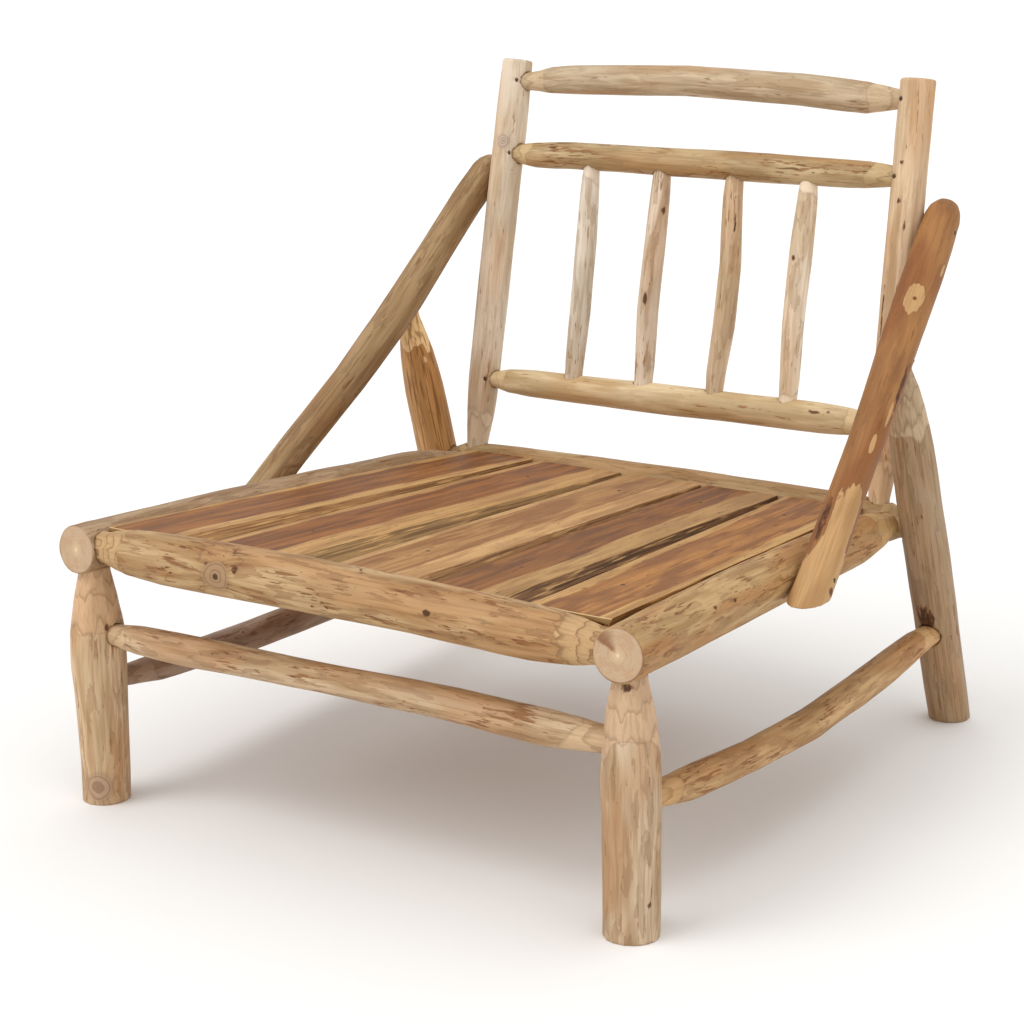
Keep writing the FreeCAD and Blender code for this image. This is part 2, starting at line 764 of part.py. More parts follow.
# Stretchers
add_log(
    "front_stretcher",
    "front_stretcher_radius",
    FRONT_STRETCHER_SHARES,
    *(
        joint_on(
            front_legs[side],
            front_legs[side].share_where(2, SIZES["front_stretcher_height"]),
            STRETCHER_TIP_SHARE,
        )
        for side, sign in SIDES
    ),
)
for side, sign in SIDES:
    add_log(
        f"side_stretcher_{side}",
        "side_stretcher_radius",
        SIDE_STRETCHER_SHARES[side],
        joint_on(
            front_legs[side],
            front_legs[side].share_where(2, SIZES[f"side_stretcher_{side}_front_height"]),
            STRETCHER_TIP_SHARE,
        ),
        joint_on(
            rear_legs[side],
            rear_legs[side].share_where(2, SIZES[f"side_stretcher_{side}_rear_height"]),
            STRETCHER_TIP_SHARE,
        ),
    )
for log in logs.values():
    log.mortises()

# Room around the frame logs, for the boards that are scribed to them
ROOM = " + Sizes.fit_gap"
rooms = {
    name: logs[name].build(f"{name}_room", ROOM)
    for name in (
        "side_rail_left",
        "side_rail_right",
        "front_rail",
        "rear_rail",
    )
}

# Sawn ends: the arms are cut level above the floor, and the legs are cut level on it
for side, sign in SIDES:
    for name, level, point in (
        (f"arm_{side}", f"Sizes.arm_{side}_toe_height", arms[side].base),
        (f"front_leg_{side}", "0", front_legs[side].base),
        (f"rear_leg_{side}", "0", rear_legs[side].base),
    ):
        cutter = document.addObject("Part::Box", f"{name}_saw")
        for edge in ("Length", "Width", "Height"):
            cutter.setExpression(edge, f"{SAW_SPAN_SHARE} * Sizes.arm_radius")
        half = SAW_SPAN_SHARE * SIZES["arm_radius"] / 2
        cutter.Placement = FreeCAD.Placement(point - Vector(half, half, 0), FreeCAD.Rotation())
        cutter.setExpression("Placement.Base.z", f"{level} - {SAW_SPAN_SHARE} * Sizes.arm_radius")
        cut_tools.setdefault(name, []).append(cutter)

def middle_of(log):
    """Point on a cross log's bowed middle line, over the middle of the chair."""
    return log.centre(log.share_where(0, 0))


# Seat boards: their top lies a little over the middle lines of the front rail and the rear rail
seat_front = middle_of(front_rail) + Vector(0, 0, SIZES["seat_front_lift"])
seat_rear = middle_of(rear_rail) + Vector(0, 0, SIZES["seat_rear_lift"])
fall = Vector(0, seat_rear.y - seat_front.y, seat_rear.z - seat_front.z).normalize()
seat_up = Vector(1, 0, 0).cross(fall)
seat_turn = FreeCAD.Rotation(Vector(-1, 0, 0), seat_up, fall, "ZXY")


def seat_point(across, place):
    """World point on the top of the seat boards."""
    height = seat_front.z + (place - seat_front.y) * fall.z / fall.y
    return Vector(across, place, height)


board_front = seat_front.y + FRONT_LAP_SHARE * SIZES["front_rail_radius"]
board_rear = seat_rear.y - REAR_LAP_SHARE * SIZES["rear_rail_radius"]
put("slat_length", (board_rear - board_front) / fall.y)
slat_widths = {}
edge_x = {}
for key, place, shares, waney_names in (
    ("front", board_front, SLAT_FRONT_SHARES, [f"waney_edge_{n}_front" for n in SLAT_NUMBERS]),
    ("rear", board_rear, SLAT_REAR_SHARES, ["waney_edge_rear"] * SLAT_COUNT),
):
    ends = {}
    for side, sign in SIDES:
        rail = side_rails[side]
        middle = rail.centre(rail.share_where(1, place)).x
        ends[side] = middle - sign * SIZES[f"slat_{side}_{key}_inset"]
    edge_x[key] = ends["left"]
    room = ends["right"] - ends["left"] - (SLAT_COUNT - 1) * SIZES["slot_width"]
    room -= sum(SIZES[name] for name in waney_names)
    for number, share in zip(SLAT_NUMBERS, shares):
        slat_widths[number, key] = room * share
        put(f"slat_{number}_{key}_width", room * share)


def slat_edges(number, key):
    """The left edge, the right edge of the top and the waney edge's width at one end of a board."""
    left = put(f"slat_{number}_{key}_left", edge_x[key])
    right = f"{left} + Sizes.slat_{number}_{key}_width"
    waney = f"Sizes.waney_edge_{number}_front" if key == "front" else "Sizes.waney_edge_rear"
    return left, right, waney


def waney_corners(right, waney):
    """The cross-section that is cut off along a board's waney edge, with some to spare."""
    over = f"{WANEY_SPARE_SHARE} * Sizes.slat_thickness"
    beyond = f"{right} + {1 + WANEY_SPARE_SHARE} * {waney} + 2 * Sizes.cut_overrun"
    under = f"-{1 + WANEY_SPARE_SHARE} * Sizes.slat_thickness"
    return (
        (f"{right} - {WANEY_SPARE_SHARE} * {waney}", over),
        (f"{right} + {1 + WANEY_SPARE_SHARE} * {waney}", under),
        (beyond, under),
        (beyond, over),
    )


def add_outline(body, name, corners, plane="XY_Plane"):
    """A closed sketch of straight edges through corners given as expressions."""
    sketch = new_sketch(body, name, plane)
    count = len(corners)
    turns = [(0, 0), (-1, 0), (-1, -1), (0, -1)]
    for index in range(count):
        low, high = turns[index], turns[(index + 1) % count]
        sketch.addGeometry(Part.LineSegment(Vector(*low, 0), Vector(*high, 0)), False)
    for index in range(count):
        sketch.addConstraint(
            Sketcher.Constraint("Coincident", index, 2, (index + 1) % count, 1)
        )
    for index, (across, rise) in enumerate(corners):
        for kind, value in (("DistanceX", f"-({across})"), ("DistanceY", rise)):
            constraint = sketch.addConstraint(Sketcher.Constraint(kind, -1, 1, index, 1, 0))
            sketch.setExpression(f"Constraints[{constraint}]", value)
    return sketch


bearer_places = {
    key: board_front + share * (board_rear - board_front) for key, share in BEARER_SHARES.items()
}
seat_nails = []
for number in SLAT_NUMBERS:
    name = f"seat_slat_{number}"
    body = document.addObject("PartDesign::Body", f"{name}_board")
    body.Placement = FreeCAD.Placement(seat_point(0, board_front), seat_turn)
    edges = {key: slat_edges(number, key) for key in edge_x}
    plan = []
    for key, along in (("front", "0"), ("rear", "Sizes.slat_length")):
        left, right, waney = edges[key]
        sides = [(left, along), (f"{right} + {waney} + Sizes.cut_overrun", along)]
        plan += sides if key == "front" else sides[::-1]
    pad = body.newObject("PartDesign::Pad", f"{name}_plank")
    pad.Profile = add_outline(body, f"{name}_plan", plan, "XZ_Plane")
    pad.setExpression("Length", "Sizes.slat_thickness")
    body.Tip = pad
    wedge = []
    for key, along in (("front", "-Sizes.cut_overrun"), ("rear", "Sizes.slat_length + Sizes.cut_overrun")):
        left, right, waney = edges[key]
        section = add_outline(body, f"{name}_waney_{key}", waney_corners(right, waney))
        section.setExpression("AttachmentOffset.Base.z", along)
        wedge.append(section)
    loft = body.newObject("PartDesign::SubtractiveLoft", f"{name}_waney_edge")
    loft.Profile = wedge[0]
    loft.Sections = wedge[1:]
    loft.Ruled = True
    body.Tip = loft
    bounds = [rooms["front_rail"], rooms["rear_rail"]]
    if number == 1:
        bounds.append(rooms["side_rail_left"])
    if number == SLAT_COUNT:
        bounds.append(rooms["side_rail_right"])
    bodies[name] = trimmed(name, body, bounds)
    for key, share in BEARER_SHARES.items():
        middle = sum(
            (edge_x[end] + slat_widths[number, end] * SLAT_NAIL_SHARE) * part
            for end, part in (("front", 1 - share), ("rear", share))
        )
        point = seat_point(middle, bearer_places[key])
        seat_nails.append((f"{name}_nail_{key}", point, name, f"seat_bearer_{key}"))
    for key in edge_x:
        waney = SIZES[f"waney_edge_{number}_front"] if key == "front" else SIZES["waney_edge_rear"]
        edge_x[key] += slat_widths[number, key] + waney + SIZES["slot_width"]

# Bearers
for key, place in bearer_places.items():
    name = f"seat_bearer_{key}"
    drop = SIZES["slat_thickness"] + SIZES["fit_gap"]
    reach = {}
    tips = {}
    for side, sign in SIDES:
        rail = side_rails[side]
        share = rail.share_where(1, place)
        near = rail.share_where(1, place + SIZES["bearer_width"])
        reach[side] = rail.centre(near).x - sign * (SIZES["side_rail_radius"] + SIZES["fit_gap"])
        tips[side] = rail.centre(share).x - sign * rail.radius_at(share) * BEARER_TIP_SHARE
    put(f"{name}_length", reach["right"] - reach["left"])
    put(f"{name}_tenon_span", tips["right"] - tips["left"])
    batten = document.addObject("Part::Box", f"{name}_batten")
    batten.setExpression("Length", f"Sizes.{name}_length")
    batten.setExpression("Width", "Sizes.bearer_width")
    batten.setExpression("Height", "Sizes.bearer_thickness")
    middle = seat_point(0, place) - seat_up * (drop + SIZES["bearer_thickness"] / 2)
    corner = middle - seat_up * (SIZES["bearer_thickness"] / 2) - fall * (SIZES["bearer_width"] / 2)
    corner.x = reach["left"]
    level_turn = FreeCAD.Rotation(Vector(1, 0, 0), fall, seat_up, "ZXY")
    batten.Placement = FreeCAD.Placement(corner, level_turn)
    start = Vector(tips["left"], middle.y, middle.z)
    across = Vector(1, 0, 0)
    tenon = add_cylinder(
        f"{name}_tenon", start, across, "Sizes.bearer_tenon_radius", f"Sizes.{name}_tenon_span"
    )
    whole = document.addObject("Part::Fuse", f"{name}_whole")
    whole.Base = batten
    whole.Tool = tenon
    bodies[name] = whole
    for side, sign in SIDES:
        mouth = Vector(tips[side] - sign * SIZES["side_rail_radius"], middle.y, middle.z)
        add_hole(
            f"{name}_{side}",
            mouth,
            across * sign,
            "Sizes.bearer_tenon_radius + Sizes.fit_gap",
            "Sizes.side_rail_radius + Sizes.fit_gap",
            (f"side_rail_{side}",),
        )


# Nails
def add_nail(name, head, direction, length, hosts):
    """One nail with a flat head, and its hole in every piece that it goes through."""
    head_piece = add_cylinder(
        f"{name}_head", head, direction, "Sizes.nail_head_radius", "Sizes.nail_head_thickness"
    )
    shank = add_cylinder(f"{name}_shank", head, direction, "Sizes.nail_shank_radius", length)
    nail = document.addObject("Part::Fuse", name)
    nail.Base = head_piece
    nail.Tool = shank
    mouth = head - direction * SIZES["cut_overrun"]
    add_hole(
        f"{name}_head_hole",
        mouth,
        direction,
        "Sizes.nail_head_radius + Sizes.fit_gap",
        "Sizes.cut_overrun + Sizes.nail_head_thickness + Sizes.fit_gap",
        hosts[:1],
    )
    add_hole(
        f"{name}_hole",
        head,
        direction,
        "Sizes.nail_shank_radius + Sizes.fit_gap",
        f"{length} + Sizes.fit_gap",
        hosts,
    )
    return nail


def beside(log, share, offset, outward):
    """Point on a log's skin, off its middle line, where a nail through a neck enters."""
    reach = math.sqrt(1 - NAIL_SIDE_SHARE**2) * (1 - NAIL_SINK_SHARE)
    return log.centre(share) + (offset * NAIL_SIDE_SHARE + outward * reach) * log.radius_at(share)


slat_nails = [
    add_nail(name, point, seat_up * -1, "Sizes.slat_nail_length", hosts)
    for name, point, *hosts in seat_nails
]
joint_nails = []
for side, sign in SIDES:
    outward = Vector(sign, 0, 0)
    arm = arms[side]
    for key, place, host in (
        ("toe", nail_places[side][0], f"side_rail_{side}"),
        ("head", nail_places[side][1], f"back_post_{side}"),
    ):
        share = (place - arm.base).dot(arm.along) / arm.length
        skin = arm.centre(share) + outward * (arm.radius_at(share) * (1 - NAIL_SINK_SHARE))
        joint_nails.append(
            add_nail(
                f"arm_{side}_{key}_nail",
                skin,
                outward * -1,
                "Sizes.joint_nail_length",
                (f"arm_{side}", host),
            )
        )
    share = joint_shares[side]
    skin = beside(arm, share, rear_legs[side].along * -1, outward)
    joint_nails.append(
        add_nail(
            f"rear_leg_{side}_nail",
            skin,
            outward * -1,
            "Sizes.small_nail_length",
            (f"arm_{side}", f"rear_leg_{side}"),
        )
    )
    post = posts[side]
    for place, rail in back_rails.items():
        share = post.share_where(2, SIZES[f"{place}_back_rail_{side}_height"])
        skin = beside(post, share, outward * -1, post.rise * -1)
        joint_nails.append(
            add_nail(
                f"{place}_back_rail_{side}_nail",
                skin,
                post.rise,
                "Sizes.small_nail_length",
                (f"back_post_{side}", rail.name),
            )
        )

for name, body in bodies.items():
    finish(name, body)
for name, nails in (("slat_nails", slat_nails), ("joint_nails", joint_nails)):
    group = document.addObject("Part::Compound", f"{name}_group")
    group.Links = nails
    group.Label = name
    nodes[name] = group

document.recompute()
for item in document.Objects:
    if "Invalid" in item.State or "Error" in item.State:
        raise RuntimeError(f"{item.Label} failed: {item.State}")
for name, piece in nodes.items():
    if piece.Shape.isNull() or not piece.Shape.isValid():
        raise RuntimeError(f"{name} has no valid shape")
    if name not in ("slat_nails", "joint_nails") and len(piece.Shape.Solids) != 1:
        raise RuntimeError(f"{name} is in {len(piece.Shape.Solids)} solids")

os.makedirs(OUT_FOLDER, exist_ok=True)
for name, piece in nodes.items():
    piece.Shape.exportStep(f"{OUT_FOLDER}/{name}.step")
    print(name, round(piece.Shape.Volume), "cubic mm")
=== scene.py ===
"""Looks of the twig lounge chair: peeled branches, sawn boards, nails and a studio.

Every length is in metres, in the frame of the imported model.
"""

import logging  # noqa: E402
import math  # noqa: E402
from dataclasses import dataclass  # noqa: E402
from enum import Enum  # noqa: E402

import bmesh  # noqa: E402
import bpy  # noqa: E402
import numpy as np  # noqa: E402
from mathutils import Matrix, Vector  # noqa: E402


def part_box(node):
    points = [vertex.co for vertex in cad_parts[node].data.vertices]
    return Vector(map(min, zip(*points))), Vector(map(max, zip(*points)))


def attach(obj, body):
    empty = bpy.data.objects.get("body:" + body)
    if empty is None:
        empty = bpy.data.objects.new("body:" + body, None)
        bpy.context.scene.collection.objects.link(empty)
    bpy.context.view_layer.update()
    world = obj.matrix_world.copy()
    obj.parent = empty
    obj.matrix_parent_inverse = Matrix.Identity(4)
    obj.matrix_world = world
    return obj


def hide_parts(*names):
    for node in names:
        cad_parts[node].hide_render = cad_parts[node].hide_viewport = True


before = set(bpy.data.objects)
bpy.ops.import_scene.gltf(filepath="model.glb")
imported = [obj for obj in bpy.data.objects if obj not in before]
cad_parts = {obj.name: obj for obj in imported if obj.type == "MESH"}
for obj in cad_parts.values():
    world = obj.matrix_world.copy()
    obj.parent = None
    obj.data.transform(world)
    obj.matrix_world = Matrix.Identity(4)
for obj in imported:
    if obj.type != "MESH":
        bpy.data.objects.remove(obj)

MM = 0.001
LOG = logging.getLogger("twig_chair")
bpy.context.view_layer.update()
Point = tuple[float, float, float]
Socket = bpy.types.NodeSocket
Sockets = dict[str, Socket]
WELD = 0.01 * MM
TINY = 1e-6


# Small tools


def to_linear(code: str) -> tuple[float, float, float, float]:
    """Turn an sRGB hex colour into linear light.

    Args:
        code: six hex digits after a hash sign.

    Returns:
        Red, green, blue and an alpha of one.
    """
    parts = [int(code[i : i + 2], 16) / 255 for i in (1, 3, 5)]
    lit = [p / 12.92 if p <= 0.04045 else ((p + 0.055) / 1.055) ** 2.4 for p in parts]
    return lit[0], lit[1], lit[2], 1.0


def ramp(low: float, high: float, value: np.ndarray) -> np.ndarray:
    """Rise smoothly from 0 at low to 1 at high.

    Args:
        low: value where the rise starts.
        high: value where it ends.
        value: the numbers to map.

    Returns:
        The mapped numbers.
    """
    part = np.clip((value - low) / (high - low), 0, 1)
    return part * part * (3 - 2 * part)


def noise(points: np.ndarray, seed: int) -> np.ndarray:
    """Smooth lattice noise, the same on every run.

    Args:
        points: one row for each place, in lattice cells.
        seed: chooses the pattern.

    Returns:
        A number from -1 to 1 for each row.
    """
    cell = np.floor(points).astype(np.int64)
    part = points - cell
    fade = part**3 * (part * (part * 6 - 15) + 10)
    total = np.zeros(len(points))
    for corner in range(8):
        step = np.array([corner & 1, corner >> 1 & 1, corner >> 2 & 1])
        key = (cell + step) @ np.array([374761393, 668265263, 1274126177]) + seed * 97531
        key = (key ^ (key >> 13)) * 1103515245 & 0xFFFFFFFF
        key = (key ^ (key >> 15)) * 668265263 & 0xFFFFFFFF
        height = ((key >> 8) & 0xFFFF) / 32767.5 - 1
        total += height * np.where(step == 1, fade, 1 - fade).prod(axis=1)
    return total


def soften(row: np.ndarray, steps: float) -> np.ndarray:
    """Blur a row of numbers or points along its length.

    Args:
        row: numbers at even stations, one or more columns.
        steps: width of the blur in stations.

    Returns:
        The blurred row, with its ends carried on straight.
    """
    reach = int(3 * steps)
    weights = np.exp(-0.5 * (np.arange(-reach, reach + 1) / steps) ** 2)
    weights /= weights.sum()
    table = row.reshape(len(row), -1)
    before = 2 * table[0] - table[reach:0:-1]
    after = 2 * table[-1] - table[-2 : -reach - 2 : -1]
    longer = np.vstack([before, table, after])
    columns = [np.convolve(column, weights, "valid") for column in longer.T]
    return np.stack(columns, axis=1).reshape(row.shape)


def keep_number(mesh: bpy.types.Mesh, name: str, values: np.ndarray) -> None:
    """Store one number or one vector for each vertex under a name.

    Args:
        mesh: the mesh that keeps them.
        name: name that the material reads.
        values: one row for each vertex.
    """
    wide = values.ndim == 2
    layer = mesh.attributes.new(name, "FLOAT_VECTOR" if wide else "FLOAT", "POINT")
    layer.data.foreach_set("vector" if wide else "value", values.astype(np.float32).ravel())


def read_rows(items: bpy.types.bpy_prop_collection, name: str, wide: int) -> np.ndarray:
    """Read one property of every vertex, edge or face of a mesh.

    Args:
        items: the mesh's vertices, edges or polygons.
        name: the property.
        wide: how many numbers each one has.

    Returns:
        One row for each item.
    """
    numbers = np.empty(len(items) * wide, dtype=np.int64 if name == "vertices" else float)
    items.foreach_get(name, numbers)
    return numbers.reshape(-1, wide)


def put(name: str, data: bpy.types.ID) -> bpy.types.Object:
    """Put a mesh, lamp or camera in the scene.

    Args:
        name: name of the new object.
        data: what it holds.

    Returns:
        The new object.
    """
    piece = bpy.data.objects.new(name, data)
    bpy.context.scene.collection.objects.link(piece)
    return piece


def applied(work: bpy.types.Object) -> bpy.types.Mesh:
    """Take the mesh that an object's modifiers make, and remove the object.

    Args:
        work: the object, which has a mesh of its own.

    Returns:
        The new mesh.
    """
    ready = work.evaluated_get(bpy.context.evaluated_depsgraph_get())
    made = bpy.data.meshes.new_from_object(ready)
    used = work.data
    work.modifiers.clear()
    bpy.data.objects.remove(work)
    bpy.data.meshes.remove(used)
    return made


def settle(
    name: str, mesh: bpy.types.Mesh, finish: bpy.types.Material, node: str
) -> None:
    """Put a finished mesh in the scene in place of its CAD node.

    Args:
        name: name of the new piece.
        mesh: its mesh, in place.
        finish: its material.
        node: the CAD node that it stands for.
    """
    mesh.materials.clear()
    mesh.materials.append(finish)
    piece = put(name, mesh)
    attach(piece, "root")
    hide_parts(node)
    LOG.info("%s: %d faces", name, len(mesh.polygons))


@dataclass
class Graph:
    """A node tree that is being built, with short ways to add the usual nodes."""

    tree: bpy.types.NodeTree
    made: bpy.types.Material | None = None

    @classmethod
    def of(cls, name: str) -> "Graph":
        """Start an empty material.

        Args:
            name: the material's name.

        Returns:
            Its tree, without nodes.
        """
        made = bpy.data.materials.new(name)
        made.use_nodes = True
        made.node_tree.nodes.clear()
        return cls(made.node_tree, made)

    def add(self, kind: str, feeds: dict | None = None, **settings: object) -> bpy.types.Node:
        """Add a node with its settings, numbers and links.

        Args:
            kind: type name of the node.
            feeds: input name or place to a socket or node, which is linked, or to a value.
            settings: properties of the node itself.

        Returns:
            The new node.
        """
        node = self.tree.nodes.new(kind)
        for name, value in settings.items():
            setattr(node, name, value)
        for name, value in (feeds or {}).items():
            if isinstance(value, bpy.types.Node):
                value = value.outputs[0]
            if isinstance(value, Socket):
                self.tree.links.new(value, node.inputs[name])
            else:
                node.inputs[name].default_value = value
        return node

    def math(self, operation: str, *values: Socket | float) -> Socket:
        """Calculate with numbers.

        Args:
            operation: what is done.
            values: the numbers, as sockets or values.

        Returns:
            The result.
        """
        feeds = dict(enumerate(values))
        return self.add("ShaderNodeMath", feeds, operation=operation).outputs[0]

    def vector(self, operation: str, *values: Socket | Point) -> Socket:
        """Calculate with vectors.

        Args:
            operation: what is done.
            values: the vectors, as sockets or values.

        Returns:
            The result, which is a number for a length.
        """
        feeds = dict(enumerate(values))
        node = self.add("ShaderNodeVectorMath", feeds, operation=operation)
        return node.outputs["Value" if operation == "LENGTH" else "Vector"]

    def attribute(self, name: str) -> Socket:
        """Read a vector that is stored on the mesh.

        Args:
            name: name of the attribute.

        Returns:
            The vector.
        """
        return self.add("ShaderNodeAttribute", attribute_name=name).outputs["Vector"]

    def noise(self, place: Socket, detail: float, scale: float = 1.0) -> Socket:
        """Make a noise.

        Args:
            place: where the noise is read.
            detail: how fine it gets.
            scale: cells in each unit of the place.

        Returns:
            The noise, from 0 to 1.
        """
        feeds = {"Vector": place, "Scale": scale, "Detail": detail}
        return self.add("ShaderNodeTexNoise", feeds).outputs[0]

    def patterns(self, grain: Socket, sizes: dict[str, tuple]) -> Sockets:
        """Make noises that are drawn out along the grain.

        Args:
            grain: the wood's own coordinates, with the pith along z.
            sizes: by name, width and length of a feature in millimetres, and detail.

        Returns:
            Each noise by name.
        """
        found: Sockets = {}
        for name, (width, length, detail) in sizes.items():
            scale = (1 / (width * MM), 1 / (width * MM), 1 / (length * MM))
            found[name] = self.noise(self.vector("MULTIPLY", grain, scale), detail)
        return found

    def swung(self, value: Socket, found: Sockets, swings: dict[str, float]) -> Socket:
        """Add shares of some noises to a value.

        Args:
            value: the value.
            found: the noises by name.
            swings: how much of each noise is added.

        Returns:
            The sum.
        """
        for name, swing in swings.items():
            value = self.math("MULTIPLY_ADD", found[name], swing, value)
        return value

    def rings(self, flat: Socket, spacing: float, found: Sockets, swings: dict) -> Socket:
        """Draw growth rings round the pith.

        Args:
            flat: place in the slice across the pith.
            spacing: distance between rings in millimetres.
            found: the noises by name.
            swings: how many rings each noise bends them by.

        Returns:
            A value that rises from 0 to 1 in each ring.
        """
        turns = self.math("MULTIPLY", self.vector("LENGTH", flat), 1 / (spacing * MM))
        return self.math("FRACT", self.swung(turns, found, swings))

    def spread(
        self, value: Socket, low: float, high: float, first: float = 0.0, last: float = 1.0
    ) -> Socket:
        """Map a value in a straight line.

        Args:
            value: the value.
            low: where the line starts.
            high: where it ends.
            first: result at its start.
            last: result at its end.

        Returns:
            The result.
        """
        ends = {"From Min": low, "From Max": high, "To Min": first, "To Max": last}
        return self.add("ShaderNodeMapRange", {"Value": value, **ends}).outputs[0]

    def masks(self, found: Sockets, table: dict[str, tuple]) -> Sockets:
        """Turn noises and attributes into masks of how much of each colour shows.

        Args:
            found: the noises and attributes by name.
            table: by name, the source or its name, its value for nothing and for all,
                and the most.

        Returns:
            Each mask by name.
        """
        ready: Sockets = {}
        for name, (source, low, high, most) in table.items():
            value = found[source] if isinstance(source, str) else source
            feeds = {"Value": value, "From Min": low, "From Max": high, "To Max": most}
            smooth = self.add("ShaderNodeMapRange", feeds, interpolation_type="SMOOTHSTEP")
            ready[name] = smooth.outputs[0]
        return ready

    def mix(self, mask: Socket | float, under: object, over: object, **settings: str) -> Socket:
        """Lay one colour over another.

        Args:
            mask: how much of the upper one shows.
            under: hex colour or socket underneath.
            over: hex colour or socket on top.
            settings: properties of the node.

        Returns:
            The colour.
        """
        pair = [to_linear(coat) if isinstance(coat, str) else coat for coat in (under, over)]
        feeds = {0: mask, 6: pair[0], 7: pair[1]}
        return self.add("ShaderNodeMix", feeds, data_type="RGBA", **settings).outputs[2]

    def stack(self, base: str | Socket, masks: Sockets, layers: dict[str, object]) -> Socket:
        """Lay colours over a base, one after another.

        Args:
            base: hex colour or socket underneath.
            masks: the masks by name.
            layers: mask's name to hex colour or socket, from the lowest up.

        Returns:
            The colour of the whole stack.
        """
        for name, colour in layers.items():
            base = self.mix(masks[name], base, colour)
        return base

    def bump(self, height: Socket, strength: float, depth: float) -> Socket:
        """Turn a height into a bent normal.

        Args:
            height: the height, in steps of the depth.
            strength: how much of it shows.
            depth: depth of one step in millimetres.

        Returns:
            The normal.
        """
        feeds = {"Height": height, "Strength": strength, "Distance": depth * MM}
        return self.add("ShaderNodeBump", feeds).outputs[0]

    def close(self, feeds: dict[str, object]) -> bpy.types.Material:
        """Add the material's shader and output.

        Args:
            feeds: the shader's inputs.

        Returns:
            The finished material.
        """
        shader = self.add("ShaderNodeBsdfPrincipled", feeds)
        self.add("ShaderNodeOutputMaterial", {"Surface": shader})
        return self.made


# Finishes


